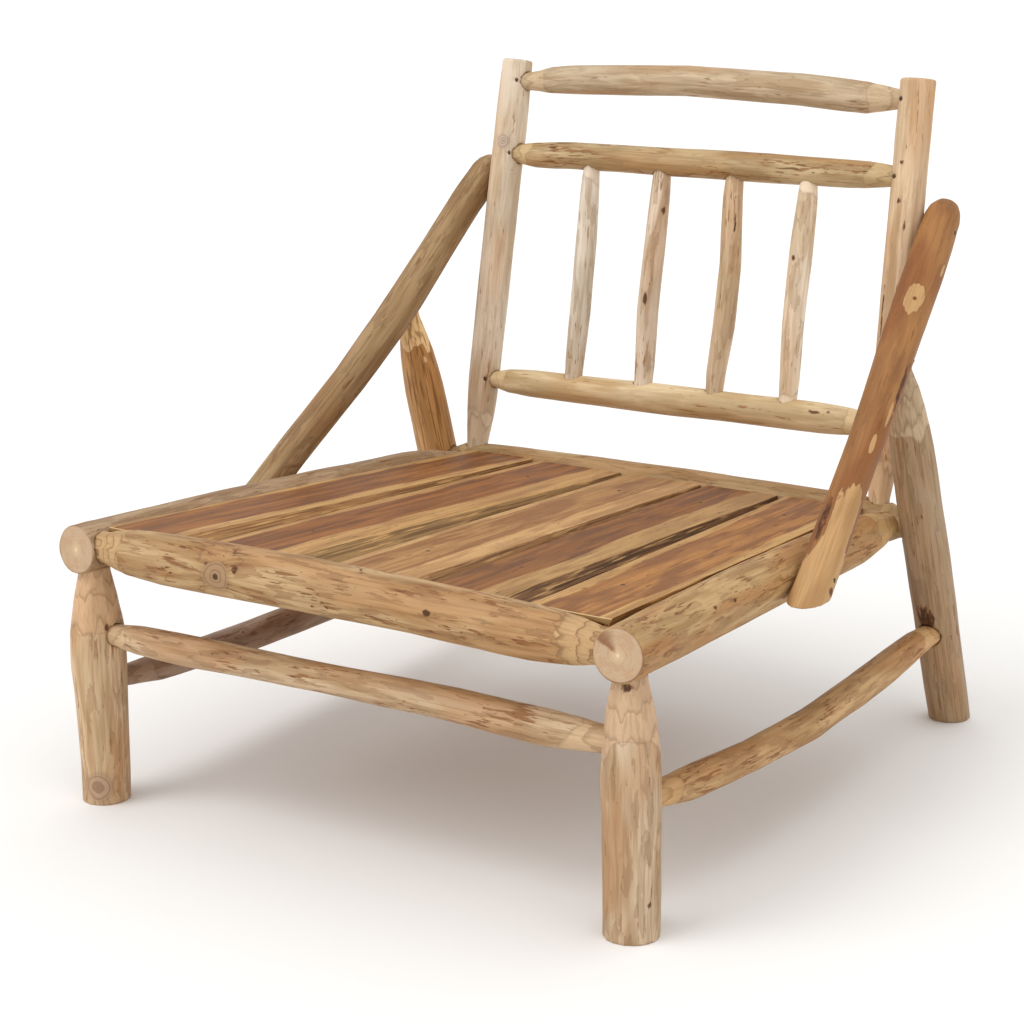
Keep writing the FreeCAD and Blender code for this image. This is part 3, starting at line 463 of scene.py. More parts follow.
@dataclass(frozen=True)
class PeeledTeak:
    """Teak branch with its bark peeled off, hand sanded and left matt.

    Each log has its own tone, and the other colours shade it. Peeling leaves soft
    mottling, crowds of brown dashes and some islands of skin. The carved ends are
    paler and smoother, with thin arcs where the knife crossed the growth rings.
    """

    name: str
    tone: str
    pale: str = "#ffffff"
    mid: str = "#d3c6b2"
    grey: str = "#dcdcd8"
    warm: str = "#deb994"
    skin: str = "#b39b80"
    smear: str = "#ab845c"
    deep: str = "#947a62"
    dark: str = "#87603c"
    carved: str = "#fffaf4"
    knot: str = "#dad3d6"
    face: str = "#bfa283"
    ring: float = 4.4
    end_ring: float = 4.2
    knot_waves: float = 14.0
    ring_share: float = 0.5
    patch_share: float = 0.4
    fleck_share: float = 0.5
    streak_share: float = 0.4
    warm_share: float = 0.5
    grey_share: float = 0.4
    roughness: float = 0.6

    def fields(self, graph: Graph) -> Sockets:
        """Make the noises and rings of the wood, and read what the mesh stores.

        Args:
            graph: the material's tree.

        Returns:
            Each noise by name, and the parts of the wood and sawn attributes.
        """
        grain = graph.attribute("grain")
        sizes = {
            "zone": (44, 170, 1.0),
            "hue": (26, 120, 1.0),
            "broad": (15, 110, 2.0),
            "patch": (8, 44, 3.0),
            "streak": (3.2, 90, 2.0),
            "smear": (4.0, 32, 2.0),
            "dash": (2.5, 19, 1.5),
            "fleck": (3.4, 9, 1.5),
            "crowd": (22, 60, 1.0),
            "fibre": (0.9, 28, 2.0),
        }
        found = graph.patterns(grain, sizes)
        stored = {"wood": ("cut", "knot", "tone"), "sawn": ("sawn", "rim", "stain")}
        for attribute, names in stored.items():
            parts = graph.add("ShaderNodeSeparateXYZ", {0: graph.attribute(attribute)})
            found.update(zip(names, parts.outputs))
        flat = graph.vector("MULTIPLY", grain, (1, 1, 0))
        bends = {"broad": 1.9, "patch": 0.07, "streak": 0.012}
        found["ring"] = graph.rings(flat, self.ring, found, bends)
        bends = {"broad": 2.4, "patch": 0.5, "streak": 0.2}
        found["end_ring"] = graph.rings(flat, self.end_ring, found, bends)
        found["check"] = graph.noise(graph.vector("NORMALIZE", flat), 3.0, 5.0)
        wave = graph.math("MULTIPLY", found["knot"], self.knot_waves)
        found["knot_wave"] = graph.math("COSINE", wave)
        found["left"] = self.ragged(graph, found, {"patch": 0.5, "fleck": 2.0})
        found["peeled"] = self.ragged(graph, found, {"patch": 1.6, "fleck": 0.3})
        return found

    @staticmethod
    def ragged(graph: Graph, found: Sockets, swings: dict[str, float]) -> Socket:
        """Give the marked places a ragged edge.

        Args:
            graph: the material's tree.
            found: the noises by name.
            swings: how much each noise moves the edge.

        Returns:
            The ragged tone, above 0 for bark and below 0 for bare wood.
        """
        start = graph.math("SUBTRACT", found["tone"], sum(swings.values()) / 2)
        return graph.swung(start, found, swings)

    def masks(self, graph: Graph, found: Sockets) -> Sockets:
        """Find how much of each colour shows.

        Args:
            graph: the material's tree.
            found: the noises by name.

        Returns:
            Each mask by name.
        """
        lines = {
            # source, value that the line follows, half its width, most
            "isle": ("patch", 0.58, 0.016, 0.7 * self.patch_share),
            "seam": ("cut", 0.5, 0.2, 0.22),
            "border": ("peeled", -0.5, 0.06, 0.6),
        }
        thin: dict[str, tuple] = {}
        for name, (source, place, half, most) in lines.items():
            gap = graph.math("ABSOLUTE", graph.math("SUBTRACT", found[source], place))
            thin[name] = (gap, half, 0.0, most)
        sparse = 0.12 * self.fleck_share
        broad = {
            # source, value of nothing, value of all, most
            "broad": ("broad", 0.42, 0.62, 0.85),
            "warm": ("zone", 0.47, 0.6, self.warm_share),
            "grey": ("hue", 0.5, 0.36, self.grey_share),
            "streak": ("streak", 0.48, 0.66, self.streak_share),
            "ring": ("ring", 0.3, 1.0, 0.4 * self.ring_share),
            "faint": ("ring", 0.84, 0.96, 0.4 * self.ring_share),
            "arc": ("ring", 0.76, 0.96, 0.65 * self.ring_share),
            "patch": ("patch", 0.57, 0.59, self.patch_share),
            "dash": ("dash", 0.75 - sparse, 0.81 - sparse, 0.85),
            "fleck": ("fleck", 0.79 - sparse, 0.84 - sparse, 0.9),
            "smear": ("smear", 0.655 - sparse, 0.73 - sparse, 0.85),
            "crowd": ("crowd", 0.44, 0.6, 1.0),
            "cut": ("cut", 0.4, 0.6, 0.92),
            "bare": ("peeled", -0.44, -0.56, 0.95),
            "bark": ("left", 0.4, 0.7, 0.8),
            "core": ("left", 0.65, 1.05, 0.85),
            "knot_face": ("knot", 1.15, 0.95, 0.85),
            "knot_rim": ("knot", 1.5, 1.0, 0.25),
            "knot_arc": ("knot_wave", 0.4, 1.0, 0.5),
            "knot_area": ("knot", 1.3, 1.1, 1.0),
            "knot_eye": ("knot", 0.26, 0.1, 0.92),
            "sawn": ("sawn", 0.2, 0.8, 1.0),
            "end_ring": ("end_ring", 0.35, 1.0, 0.11),
            "end_cloud": ("patch", 0.42, 0.6, 0.35),
            "check": ("check", 0.68, 0.74, 0.35),
            "stain": ("stain", 0.0, 1.0, 0.85),
            "rim": ("rim", 0.88, 0.95, 0.75),
            "heart": ("rim", 0.4, 0.08, 0.45),
            "pith": ("rim", 0.1, 0.03, 0.6),
        }
        ready = graph.masks(found, thin | broad)
        for name in ("smear", "dash", "fleck"):
            ready[name] = graph.math("MULTIPLY", ready[name], ready["crowd"])
        ready["knot_arc"] = graph.math("MULTIPLY", ready["knot_arc"], ready["knot_area"])
        ready["carved"] = graph.math("MAXIMUM", ready["cut"], ready["bare"])
        return ready

    def colour(self, graph: Graph, masks: Sockets) -> Socket:
        """Colour the skin, the carved wood, the knots and the sawn ends.

        Args:
            graph: the material's tree.
            masks: the masks by name.

        Returns:
            The colour of the whole log.
        """
        skin = {
            "broad": self.mid,
            "warm": self.warm,
            "grey": self.grey,
            "streak": self.skin,
            "ring": self.mid,
            "patch": self.skin,
            "isle": self.deep,
            "faint": self.deep,
            "smear": self.smear,
            "dash": self.dark,
            "fleck": self.dark,
        }
        carved = {"grey": self.mid, "streak": self.mid, "ring": self.mid, "arc": self.deep}
        over = {
            "carved": graph.stack(self.carved, masks, carved),
            "seam": self.deep,
            "border": self.dark,
            "bark": self.dark,
            "core": "#5f3e20",
            "knot_rim": self.deep,
            "knot_face": self.knot,
            "knot_arc": self.deep,
            "knot_eye": "#5e4530",
        }
        ends = {
            "end_cloud": "#b48a63",
            "end_ring": "#946742",
            "heart": "#dcc09a",
            "check": "#8a5f3a",
            "stain": "#80522f",
            "rim": "#6d4529",
            "pith": "#ecd9b4",
        }
        coat = graph.stack(graph.stack(self.pale, masks, skin), masks, over)
        coat = graph.mix(1.0, coat, self.tone, blend_type="MULTIPLY")
        return graph.mix(masks["sawn"], coat, graph.stack(self.face, masks, ends))

    def material(self) -> bpy.types.Material:
        """Build the material.

        Returns:
            The material, which reads the attributes grain, wood and sawn.
        """
        graph = Graph.of(self.name)
        found = self.fields(graph)
        masks = self.masks(graph, found)
        shade = graph.spread(found["fibre"], 0.3, 0.7, 0.93, 1.06)
        feeds = {0: self.colour(graph, masks), 3: shade}
        coat = graph.add("ShaderNodeVectorMath", feeds, operation="SCALE")
        relief = graph.math("ADD", found["fibre"], found["streak"])
        relief = graph.swung(relief, masks, {"dash": -1.2, "fleck": -1.2})
        rough = (self.roughness + 0.07, self.roughness - 0.07)
        return graph.close(
            {
                "Base Color": coat,
                "Roughness": graph.spread(found["patch"], 0.3, 0.7, *rough),
                "IOR": 1.5,
                "Specular IOR Level": 0.35,
                "Normal": graph.bump(relief, 0.45, 0.35),
            }
        )


# Branches


@dataclass(frozen=True)
class Knot:
    """A knot, where a side twig was cut off.

    It has its radius in millimetres, the height of its swelling, and how wide its
    face is kept before the eye starts.
    """

    at: Point
    radius: float
    rise: float = 1.0
    eye: float = 0.0


class Tone(Enum):
    """What a marked place on a branch shows."""

    BARK = 1.0
    BARE = -1.0


@dataclass(frozen=True)
class Mark:
    """A patch over the marks before it, with its length and width in millimetres."""

    at: Point
    length: float
    width: float
    tone: Tone = Tone.BARK


@dataclass(frozen=True)
class Stain:
    """A brown wedge on a sawn end, darkest along its first edge.

    It has its direction and half its width in degrees, and the share of the radius
    where it starts.
    """

    turn: float
    half: float
    start: float


@dataclass
class Pith:
    """The middle line of a log, with its girth and its natural skin by station."""

    origin: np.ndarray
    along: np.ndarray
    across: np.ndarray
    over: np.ndarray
    stations: np.ndarray
    centres: np.ndarray
    radii: np.ndarray
    skin: np.ndarray

    @classmethod
    def of(
        cls,
        mesh: bpy.types.Mesh,
        points: np.ndarray,
        pitch: float = 4 * MM,
        stretch: float = 70 * MM,
    ) -> "Pith":
        """Find the middle line of a log whose vertices are spread evenly.

        Args:
            mesh: the log, for its normals.
            points: places of its vertices.
            pitch: distance between stations.
            stretch: how far along a carved neck may reach from whole skin.

        Returns:
            The middle line.
        """
        origin = points.mean(axis=0)
        few = points[:: max(1, len(points) // 6000)] - origin
        main = np.linalg.svd(few, full_matrices=False)[2][0]
        along = main * np.sign(main[np.abs(main).argmax()])
        lift = (0.0, 0.0, 1.0) if abs(along[2]) < 0.8 else (0.0, -1.0, 0.0)
        across = np.cross(lift, along)
        across /= np.linalg.norm(across)
        over = np.cross(along, across)
        place = points - origin
        reach = place @ along
        flat = np.stack([place @ across, place @ over], axis=1)
        side = np.abs(read_rows(mesh.vertices, "normal", 3) @ along) < 0.75
        stations = np.arange(reach.min(), reach.max() + pitch, pitch)
        rows = []
        for station in stations:
            near = side & (np.abs(reach - station) < pitch)
            rows.append(cls.circle(flat[near]) if near.sum() > 30 else (np.nan,) * 3)
        table = np.array(rows)
        sound = ~np.isnan(table[:, 2])
        for column in range(3):
            table[:, column] = np.interp(stations, stations[sound], table[sound, column])
        radii = soften(table[:, 2], 1.5)
        window = int(stretch / pitch)
        padded = np.pad(radii, window, mode="edge")
        tallest = np.array([padded[i : i + 2 * window + 1].max() for i in range(len(radii))])
        whole = np.flatnonzero(radii > 0.93 * tallest)
        held = np.clip(np.arange(len(radii)), whole[0], whole[-1])
        skin = soften(np.maximum(np.interp(held, whole, radii[whole]), radii), 6)
        return cls(origin, along, across, over, stations, table[:, :2], radii, skin)

    @staticmethod
    def circle(flat: np.ndarray) -> tuple[float, float, float]:
        """Fit a circle to the outer points of one slice.

        Args:
            flat: places in the plane of the slice.

        Returns:
            Both parts of the centre, and the radius, or three nan.
        """
        keep = np.ones(len(flat), dtype=bool)
        centre, radius = flat.mean(axis=0), 0.0
        for _ in range(7):
            rows = np.column_stack([flat[keep], np.ones(keep.sum())])
            fit = np.linalg.lstsq(rows, (flat[keep] ** 2).sum(axis=1), rcond=None)[0]
            centre = fit[:2] / 2
            radius = math.sqrt(max(fit[2] + centre @ centre, 1e-12))
            gap = np.abs(np.linalg.norm(flat - centre, axis=1) - radius)
            keep = gap < max(0.5 * MM, 1.6 * float(np.median(gap[keep])))
            if keep.sum() < 12:
                return (math.nan,) * 3
        if keep.mean() < 0.45:
            return (math.nan,) * 3
        return float(centre[0]), float(centre[1]), radius

    def read(self, points: np.ndarray) -> tuple[np.ndarray, np.ndarray, np.ndarray]:
        """Place points against the middle line.

        Args:
            points: places in the world.

        Returns:
            Distance along, offset from the middle line in its slice, and distance from it.
        """
        place = points - self.origin
        reach = place @ self.along
        smooth = soften(self.centres, 5)
        offset = np.stack(
            [
                place @ self.across - self.at(reach, smooth[:, 0]),
                place @ self.over - self.at(reach, smooth[:, 1]),
            ],
            axis=1,
        )
        return reach, offset, np.linalg.norm(offset, axis=1)

    def at(self, reach: np.ndarray, column: np.ndarray) -> np.ndarray:
        """Read a station value at any distance along.

        Args:
            reach: distances along the middle line.
            column: one number for each station.

        Returns:
            The value at each distance.
        """
        return np.interp(reach, self.stations, column)

    def shifted(self, points: np.ndarray, move: np.ndarray) -> np.ndarray:
        """Move points within their slices.

        Args:
            points: places in the world.
            move: both parts of each point's move.

        Returns:
            The new places.
        """
        return points + move[:, :1] * self.across + move[:, 1:] * self.over

    def on_skin(self, place: Point) -> np.ndarray:
        """Find the point of the skin that is nearest to a place.

        Args:
            place: a place in the world, on or near the log.

        Returns:
            The point on the skin.
        """
        spot = np.array([place])
        reach, offset, distance = self.read(spot)
        pull = (self.at(reach, self.radii) / distance - 1)[:, None] * offset
        return self.shifted(spot, pull)[0]

    def apart(self, points: np.ndarray, place: Point) -> tuple[np.ndarray, ...]:
        """Measure points from a spot of the skin.

        Args:
            points: places in the world.
            place: a place in the world, on or near the log.

        Returns:
            Gap to the spot, its part along the log, and the rest of it.
        """
        gap = points - self.on_skin(place)
        length = gap @ self.along
        return gap, length, gap - np.outer(length, self.along)


@dataclass
class Branch:
    """One peeled log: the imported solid, made natural and given its wood attributes."""

    node: str
    slot: str
    finish: PeeledTeak
    seed: int
    knots: tuple[Knot, ...] = ()
    marks: tuple[Mark, ...] = ()
    stain: Stain = Stain(0.0, 1.0, 2.0)
    voxel: float = 2.0 * MM
    wave: float = 0.8 * MM
    dent: float = 0.25 * MM
    bite: float = 1.1 * MM
    facets: int = 9
    taper: tuple[float, float] = (1.5 * MM, 4 * MM)
    evening: float = 0.5 * MM
    cut_fade: float = 1.6 * MM
    end_zone: float = 25 * MM
    head_fade: tuple[float, float] = (60 * MM, 30 * MM)
    grain_shift: float = 1.37
    round_head: bool = False

    def evened(self) -> bpy.types.Mesh:
        """Copy the node's solid with small even faces.

        Returns:
            The copy, with its sharp edges eased.
        """
        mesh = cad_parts[self.node].data.copy()
        shell = bmesh.new()
        shell.from_mesh(mesh)
        bmesh.ops.remove_doubles(shell, verts=shell.verts, dist=WELD)
        shell.to_mesh(mesh)
        shell.free()
        work = put("work", mesh)
        even = work.modifiers.new("even", "REMESH")
        even.mode = "VOXEL"
        even.voxel_size = self.voxel
        return applied(work)

    @staticmethod
    def relax(points: np.ndarray, edges: np.ndarray, rounds: int = 5) -> np.ndarray:
        """Smooth away the steps of the even faces without shrinking the log.

        Args:
            points: places of the vertices.
            edges: pairs of vertices.
            rounds: number of double steps.

        Returns:
            The smoothed places.
        """
        first, last = edges.T
        size = len(points)
        count = np.bincount(edges.ravel(), minlength=size)[:, None]
        for share in (0.5, -0.53) * rounds:
            total = [
                np.bincount(first, column[last], size) + np.bincount(last, column[first], size)
                for column in points.T
            ]
            points = points + share * (np.stack(total, axis=1) / count - points)
        return points

    def grown(
        self, row: np.ndarray, width: float, length: float, seed: int, shift: float = 0.0
    ) -> np.ndarray:
        """Make a noise that is drawn out along the log.

        Args:
            row: offset and distance along, for each point.
            width: width of one feature in millimetres.
            length: its length in millimetres.
            seed: added to the log's own seed.
            shift: moves the pattern, in features.

        Returns:
            The noise, from -1 to 1.
        """
        return noise(row / np.array([width, width, length]) / MM + shift, self.seed + seed)

    def weather(self, points: np.ndarray, pith: Pith) -> np.ndarray:
        """Move the skin in and out as a grown and hand-carved branch does.

        Args:
            points: places of the vertices.
            pith: the log's middle line.

        Returns:
            The moved places.
        """
        reach, offset, distance = pith.read(points)
        radius = pith.at(reach, pith.radii)
        skin = pith.at(reach, pith.skin)
        outer = ramp(0.82, 0.96, distance / radius)
        row = np.column_stack([offset, reach])
        wave = self.grown(row, 34, 95, 0, 7.3)
        dent = self.grown(row, 12, 34, 1, 3.1)
        move = self.wave * (wave - 0.6) + self.dent * (dent - 0.5)
        tapered = ramp(*self.taper, skin - radius)
        turn = np.arctan2(offset[:, 1], offset[:, 0]) + 0.25 * noise(row / (60 * MM), self.seed + 2)
        step = 2 * math.pi / self.facets
        wedge = np.mod(turn, step) - step / 2
        flat = math.cos(step / 2) / np.cos(wedge)
        move = move * (1 - 0.5 * tapered) + tapered * 0.6 * radius * (flat - 1)
        blurred = pith.at(reach, soften(pith.radii, 4)) - radius
        move += np.clip(blurred, -self.evening, self.evening) * (1 - tapered)
        for knot in self.knots:
            gap = pith.apart(points, knot.at)[0]
            near = np.linalg.norm(gap, axis=1) / (knot.radius * MM)
            bulge = np.exp(-((near / 1.5) ** 2)) - 0.7 * np.exp(-((near / 0.45) ** 2))
            move += knot.rise * MM * bulge
        out = offset / np.maximum(distance, TINY)[:, None]
        return pith.shifted(points, (move * outer)[:, None] * out)

    def describe(self, mesh: bpy.types.Mesh, points: np.ndarray, pith: Pith) -> None:
        """Store the wood's coordinates, cuts, knots and marks on the mesh.

        Args:
            mesh: the finished mesh.
            points: its vertices.
            pith: the log's middle line.
        """
        reach, offset, distance = pith.read(points)
        skin = pith.at(reach, pith.skin)
        usual = float(np.median(pith.skin))
        grain = np.column_stack([offset * (usual / skin)[:, None], reach])
        ragged = self.grown(np.column_stack([offset, reach]), 9, 26, 3)
        deep = skin - distance + ragged * 0.5 * self.bite
        cut = ramp(self.bite, self.bite + self.cut_fade, deep)
        nearest = np.full(len(points), 3.0)
        for knot in self.knots:
            gap, length, rest = pith.apart(points, knot.at)
            ring = np.sqrt((length / 1.1) ** 2 + (rest**2).sum(axis=1)) / (knot.radius * MM)
            bent = 0.1 * noise(gap / (knot.radius * 0.6 * MM), self.seed + 5)
            nearest = np.minimum(nearest, np.maximum(ring + bent, knot.eye))
            push = np.exp(-((ring / 1.6) ** 2))[:, None] * rest
            grain[:, 0] += (push @ pith.across) * 0.8
            grain[:, 1] += (push @ pith.over) * 0.8
        tone = np.zeros(len(points))
        for mark in self.marks:
            _, length, rest = pith.apart(points, mark.at)
            length = length / (mark.length * MM / 2)
            width = np.linalg.norm(rest, axis=1) / (mark.width * MM / 2)
            share = ramp(1.45, 0.45, np.sqrt(length**2 + width**2))
            tone = tone * (1 - share) + mark.tone.value * share
        keep_number(mesh, "grain", grain + self.seed * np.array([0, 0, self.grain_shift]))
        ends = np.minimum(reach - reach.min(), reach.max() - reach) < self.end_zone
        facing = np.abs(read_rows(mesh.vertices, "normal", 3) @ pith.along)
        sawn = ramp(0.75, 0.92, facing) * ends
        if self.round_head:
            head = ramp(*self.head_fade, reach.max() - reach)
            sawn, cut = sawn * (1 - head), cut * (1 - head)
        keep_number(mesh, "wood", np.column_stack([cut, nearest, tone]))
        turn = np.arctan2(offset[:, 1], offset[:, 0]) - math.radians(self.stain.turn)
        aside = np.mod(turn + math.pi, 2 * math.pi) - math.pi + 0.15 * (ragged - 0.5)
        edge = math.radians(self.stain.half)
        stain = ramp(-edge - 0.06, -edge + 0.06, aside) * ramp(edge, -edge, aside)
        stain *= ramp(self.stain.start, self.stain.start + 0.3, distance / skin)
        keep_number(mesh, "sawn", np.column_stack([sawn, distance / skin, stain]))

    def build(self) -> None:
        """Build the log."""
        mesh = self.evened()
        points = read_rows(mesh.vertices, "co", 3)
        points = self.relax(points, read_rows(mesh.edges, "vertices", 2))
        pith = Pith.of(mesh, points)
        points = np.clip(self.weather(points, pith), *np.array(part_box(self.node)))
        mesh.vertices.foreach_set("co", points.ravel())
        mesh.update()
        mesh.shade_smooth()
        self.describe(mesh, points, pith)
        settle(self.node + "_log", mesh, self.finish.material(), self.node)


@dataclass
class SeatFrame:
    """The four logs that carry the seat."""

    slot: str = "seat_frame_wood"
    fine_voxel: float = 1.5 * MM
    calm_wave: float = 0.4 * MM
    rim_stain: Stain = Stain(30.0, 55.0, 0.74)
    wedge_stain: Stain = Stain(52.0, 27.0, 0.0)

    def build(self) -> None:
        """Build the side rails, the front rail and the rear rail."""
        fine = {"voxel": self.fine_voxel}
        olive = PeeledTeak("teak_side_rail_left", "#b09372", grey_share=0.1, ring_share=0.4)
        Branch("side_rail_left", self.slot, olive, 11, stain=self.rim_stain, **fine).build()
        amber = PeeledTeak(
            "teak_side_rail_right", "#c19f6e", fleck_share=0.85, warm_share=0.7, streak_share=0.2
        )
        spots = (
            Mark((0.3452, -0.2318, 0.2897), 8, 5),
            Mark((0.3443, -0.1906, 0.2858), 6, 4),
        )
        Branch(
            "side_rail_right", self.slot, amber, 12, (), spots, self.wedge_stain, **fine
        ).build()
        looks = {"patch_share": 0.5, "ring": 2.8, "ring_share": 0.85, "fleck_share": 0.95}
        striped = PeeledTeak("teak_front_rail", "#c1a074", **looks)
        knots = (Knot((-0.1336, -0.3933, 0.2862), 14.5, 0.8),)
        spots = (
            Mark((-0.1103, -0.3912, 0.2965), 9, 8),
            Mark((-0.1475, -0.3912, 0.298), 7, 3),
            Mark((0.1238, -0.3918, 0.29), 8, 7),
            Mark((0.134, -0.3918, 0.2905), 4, 3),
        )
        calm = {"wave": self.calm_wave}
        Branch("front_rail", self.slot, striped, 13, knots, spots, **calm).build()
        worn = PeeledTeak("teak_rear_rail", "#bba076", fleck_share=0.4, grey_share=0.5)
        Branch("rear_rail", self.slot, worn, 14).build()


@dataclass
class Legs:
    """Two upright front legs and two raking rear legs."""

    slot: str = "leg_wood"
    thin_bite: float = 0.8 * MM
    thinner_bite: float = 0.6 * MM
    thick_bite: float = 4.5 * MM

    def build(self) -> None:
        """Build the four legs."""
        fresh = {"carved": "#fff2ea", "fleck_share": 0.3}
        tan = PeeledTeak("teak_front_leg_left", "#d1b38f", **fresh)
        knots = (Knot((-0.3184, -0.384, 0.0206), 13.0, 0.6, 0.45),)
        spots = (Mark((-0.3042, -0.3718, 0.1988), 9, 8),)
        bite = {"bite": self.thin_bite}
        Branch("front_leg_left", self.slot, tan, 21, knots, spots, **bite).build()
        light = PeeledTeak("teak_front_leg_right", "#cbb294", **fresh)
        spots = (
            Mark((0.3568, -0.3708, 0.0402), 8, 6),
            Mark((0.335, -0.3764, 0.2493), 9, 12),
        )
        bite = {"bite": self.thinner_bite}
        Branch("front_leg_right", self.slot, light, 22, (), spots, **bite).build()
        orange = PeeledTeak(
            "teak_rear_leg_left",
            "#fbdda8",
            pale="#d0b498",
            mid="#b59a7c",
            grey="#bca48a",
            warm="#c19c78",
            skin="#8a6a4c",
            ring_share=0.15,
            streak_share=0.9,
            fleck_share=0.3,
        )
        Branch("rear_leg_left", self.slot, orange, 23, bite=self.thick_bite).build()
        looks = {"pale": "#e0d0c4", "streak_share": 0.7, "fleck_share": 0.2}
        grey = PeeledTeak("teak_rear_leg_right", "#c1ac8f", **looks)
        damp = (Mark((0.3322, 0.2847, 0.1359), 46, 22),)
        Branch("rear_leg_right", self.slot, grey, 24, (), damp).build()


@dataclass
class Stretchers:
    """Three thin logs between the legs."""

    slot: str = "stretcher_wood"

    def build(self) -> None:
        """Build the front stretcher and both side stretchers."""
        looks = (
            ("front_stretcher", "#c9ad8b", 0.85),
            ("side_stretcher_left", "#ab8f79", 0.8),
            ("side_stretcher_right", "#c9a372", 0.95),
        )
        for seed, (node, tone, flecks) in enumerate(looks, start=31):
            finish = PeeledTeak("teak_" + node, tone, fleck_share=flecks)
            Branch(node, self.slot, finish, seed).build()


@dataclass
class Arms:
    """The two slanting arms."""

    slot: str = "arm_wood"

    def build(self) -> None:
        """Build both arms."""
        olive = PeeledTeak("teak_arm_left", "#a78860", fleck_share=0.5, streak_share=0.5)
        Branch("arm_left", self.slot, olive, 41, round_head=True).build()
        orange = PeeledTeak(
            "teak_arm_right",
            "#c19b6a",
            pale="#d9bda0",
            mid="#b99b7c",
            grey="#bfa78e",
            warm="#b18460",
            skin="#967355",
            warm_share=0.75,
            streak_share=0.25,
            ring_share=0.2,
            patch_share=0.25,
            fleck_share=0.2,
        )
        bare = Tone.BARE
        marks = (
            Mark((0.3324, 0.2288, 0.5146), 42, 24, bare),
            Mark((0.3324, 0.2288, 0.5146), 5, 4),
            Mark((0.3394, 0.2844, 0.5377), 24, 6, bare),
            Mark((0.3543, 0.1475, 0.4254), 110, 7),
            Mark((0.356, 0.1229, 0.4088), 40, 6, bare),
            Mark((0.3558, 0.0838, 0.3855), 26, 6, bare),
            Mark((0.3655, 0.005, 0.325), 96, 34, bare),
            Mark((0.3708, -0.0519, 0.2854), 90, 60, bare),
            Mark((0.3755, -0.085, 0.258), 60, 80, bare),
            Mark((0.3798, -0.0532, 0.2642), 8, 8),
            Mark((0.3455, -0.0075, 0.3235), 64, 11),
        )
        Branch("arm_right", self.slot, orange, 42, marks=marks, round_head=True).build()


@dataclass
class Back:
    """Posts, cross rails and spindles of the back."""

    post_slot: str = "back_post_wood"
    rail_slot: str = "back_rail_wood"
    spindle_slot: str = "spindle_wood"
    spindle_wave: float = 0.35 * MM

    def build(self) -> None:
        """Build the posts, the cross rails and the spindles."""
        self.build_posts()
        self.build_rails()
        self.build_spindles()

    def build_posts(self) -> None:
        """Build both posts."""
        plain = {"fleck_share": 0.3, "patch_share": 0.15, "streak_share": 0.2}
        rose = PeeledTeak("teak_back_post_left", "#e0ceb6", warm="#f0d8c4", **plain)
        knots = (Knot((-0.2615, 0.3228, 0.6427), 7.0, 0.8),)
        Branch("back_post_left", self.post_slot, rose, 51, knots).build()
        cream = PeeledTeak("teak_back_post_right", "#ddbf9c", warm="#efd2b6", **plain)
        marks = (
            Mark((0.2678, 0.3236, 0.6469), 5, 4),
            Mark((0.2691, 0.316, 0.6047), 6, 4),
            Mark((0.2787, 0.3128, 0.579), 12, 5),
            Mark((0.2624, 0.297, 0.4824), 70, 3.5),
        )
        Branch("back_post_right", self.post_slot, cream, 52, (), marks).build()

    def build_rails(self) -> None:
        """Build the three cross rails."""
        tan = PeeledTeak("teak_top_rail", "#cdb798", patch_share=0.2, fleck_share=0.4)
        Branch("top_back_rail", self.rail_slot, tan, 53).build()
        yellow = PeeledTeak("teak_middle_rail", "#c9b086", patch_share=0.2, fleck_share=0.95)
        marks = (Mark((-0.1919, 0.3273, 0.6386), 18, 4),)
        Branch("middle_back_rail", self.rail_slot, yellow, 54, (), marks).build()
        pale = PeeledTeak(
            "teak_lower_rail",
            "#e0c89f",
            patch_share=0.1,
            fleck_share=0.25,
            streak_share=0.15,
            ring_share=0.25,
            warm_share=0.25,
        )
        marks = (
            Mark((0.2087, 0.2791, 0.3654), 7, 4),
            Mark((0.19, 0.2762, 0.3638), 16, 4),
        )
        Branch("lower_back_rail", self.rail_slot, pale, 55, (), marks).build()

    def build_spindles(self) -> None:
        """Build the four spindles."""
        knot_marks = (
            Mark((-0.0346, 0.3239, 0.5733), 9, 6),
            Mark((-0.0455, 0.299, 0.471), 18, 5),
        )
        looks = (
            ("#e4d7c5", (Mark((-0.15, 0.31, 0.5), 22, 2.5),)),
            ("#e3cfb7", knot_marks),
            ("#ddc4a4", (Mark((0.0625, 0.3203, 0.5663), 26, 3.5),)),
            ("#f6e7d0", (Mark((0.1439, 0.3095, 0.5321), 8, 6),)),
        )
        plain = {"warm": "#e6cdb6", "fleck_share": 0.45, "streak_share": 0.2}
        calm = {"wave": self.spindle_wave}
        for number, (tone, marks) in enumerate(looks, start=1):
            node = f"spindle_{number}"
            finish = PeeledTeak("teak_" + node, tone, **plain)
            seed = 55 + number
            Branch(node, self.spindle_slot, finish, seed, (), marks, **calm).build()


# Boards


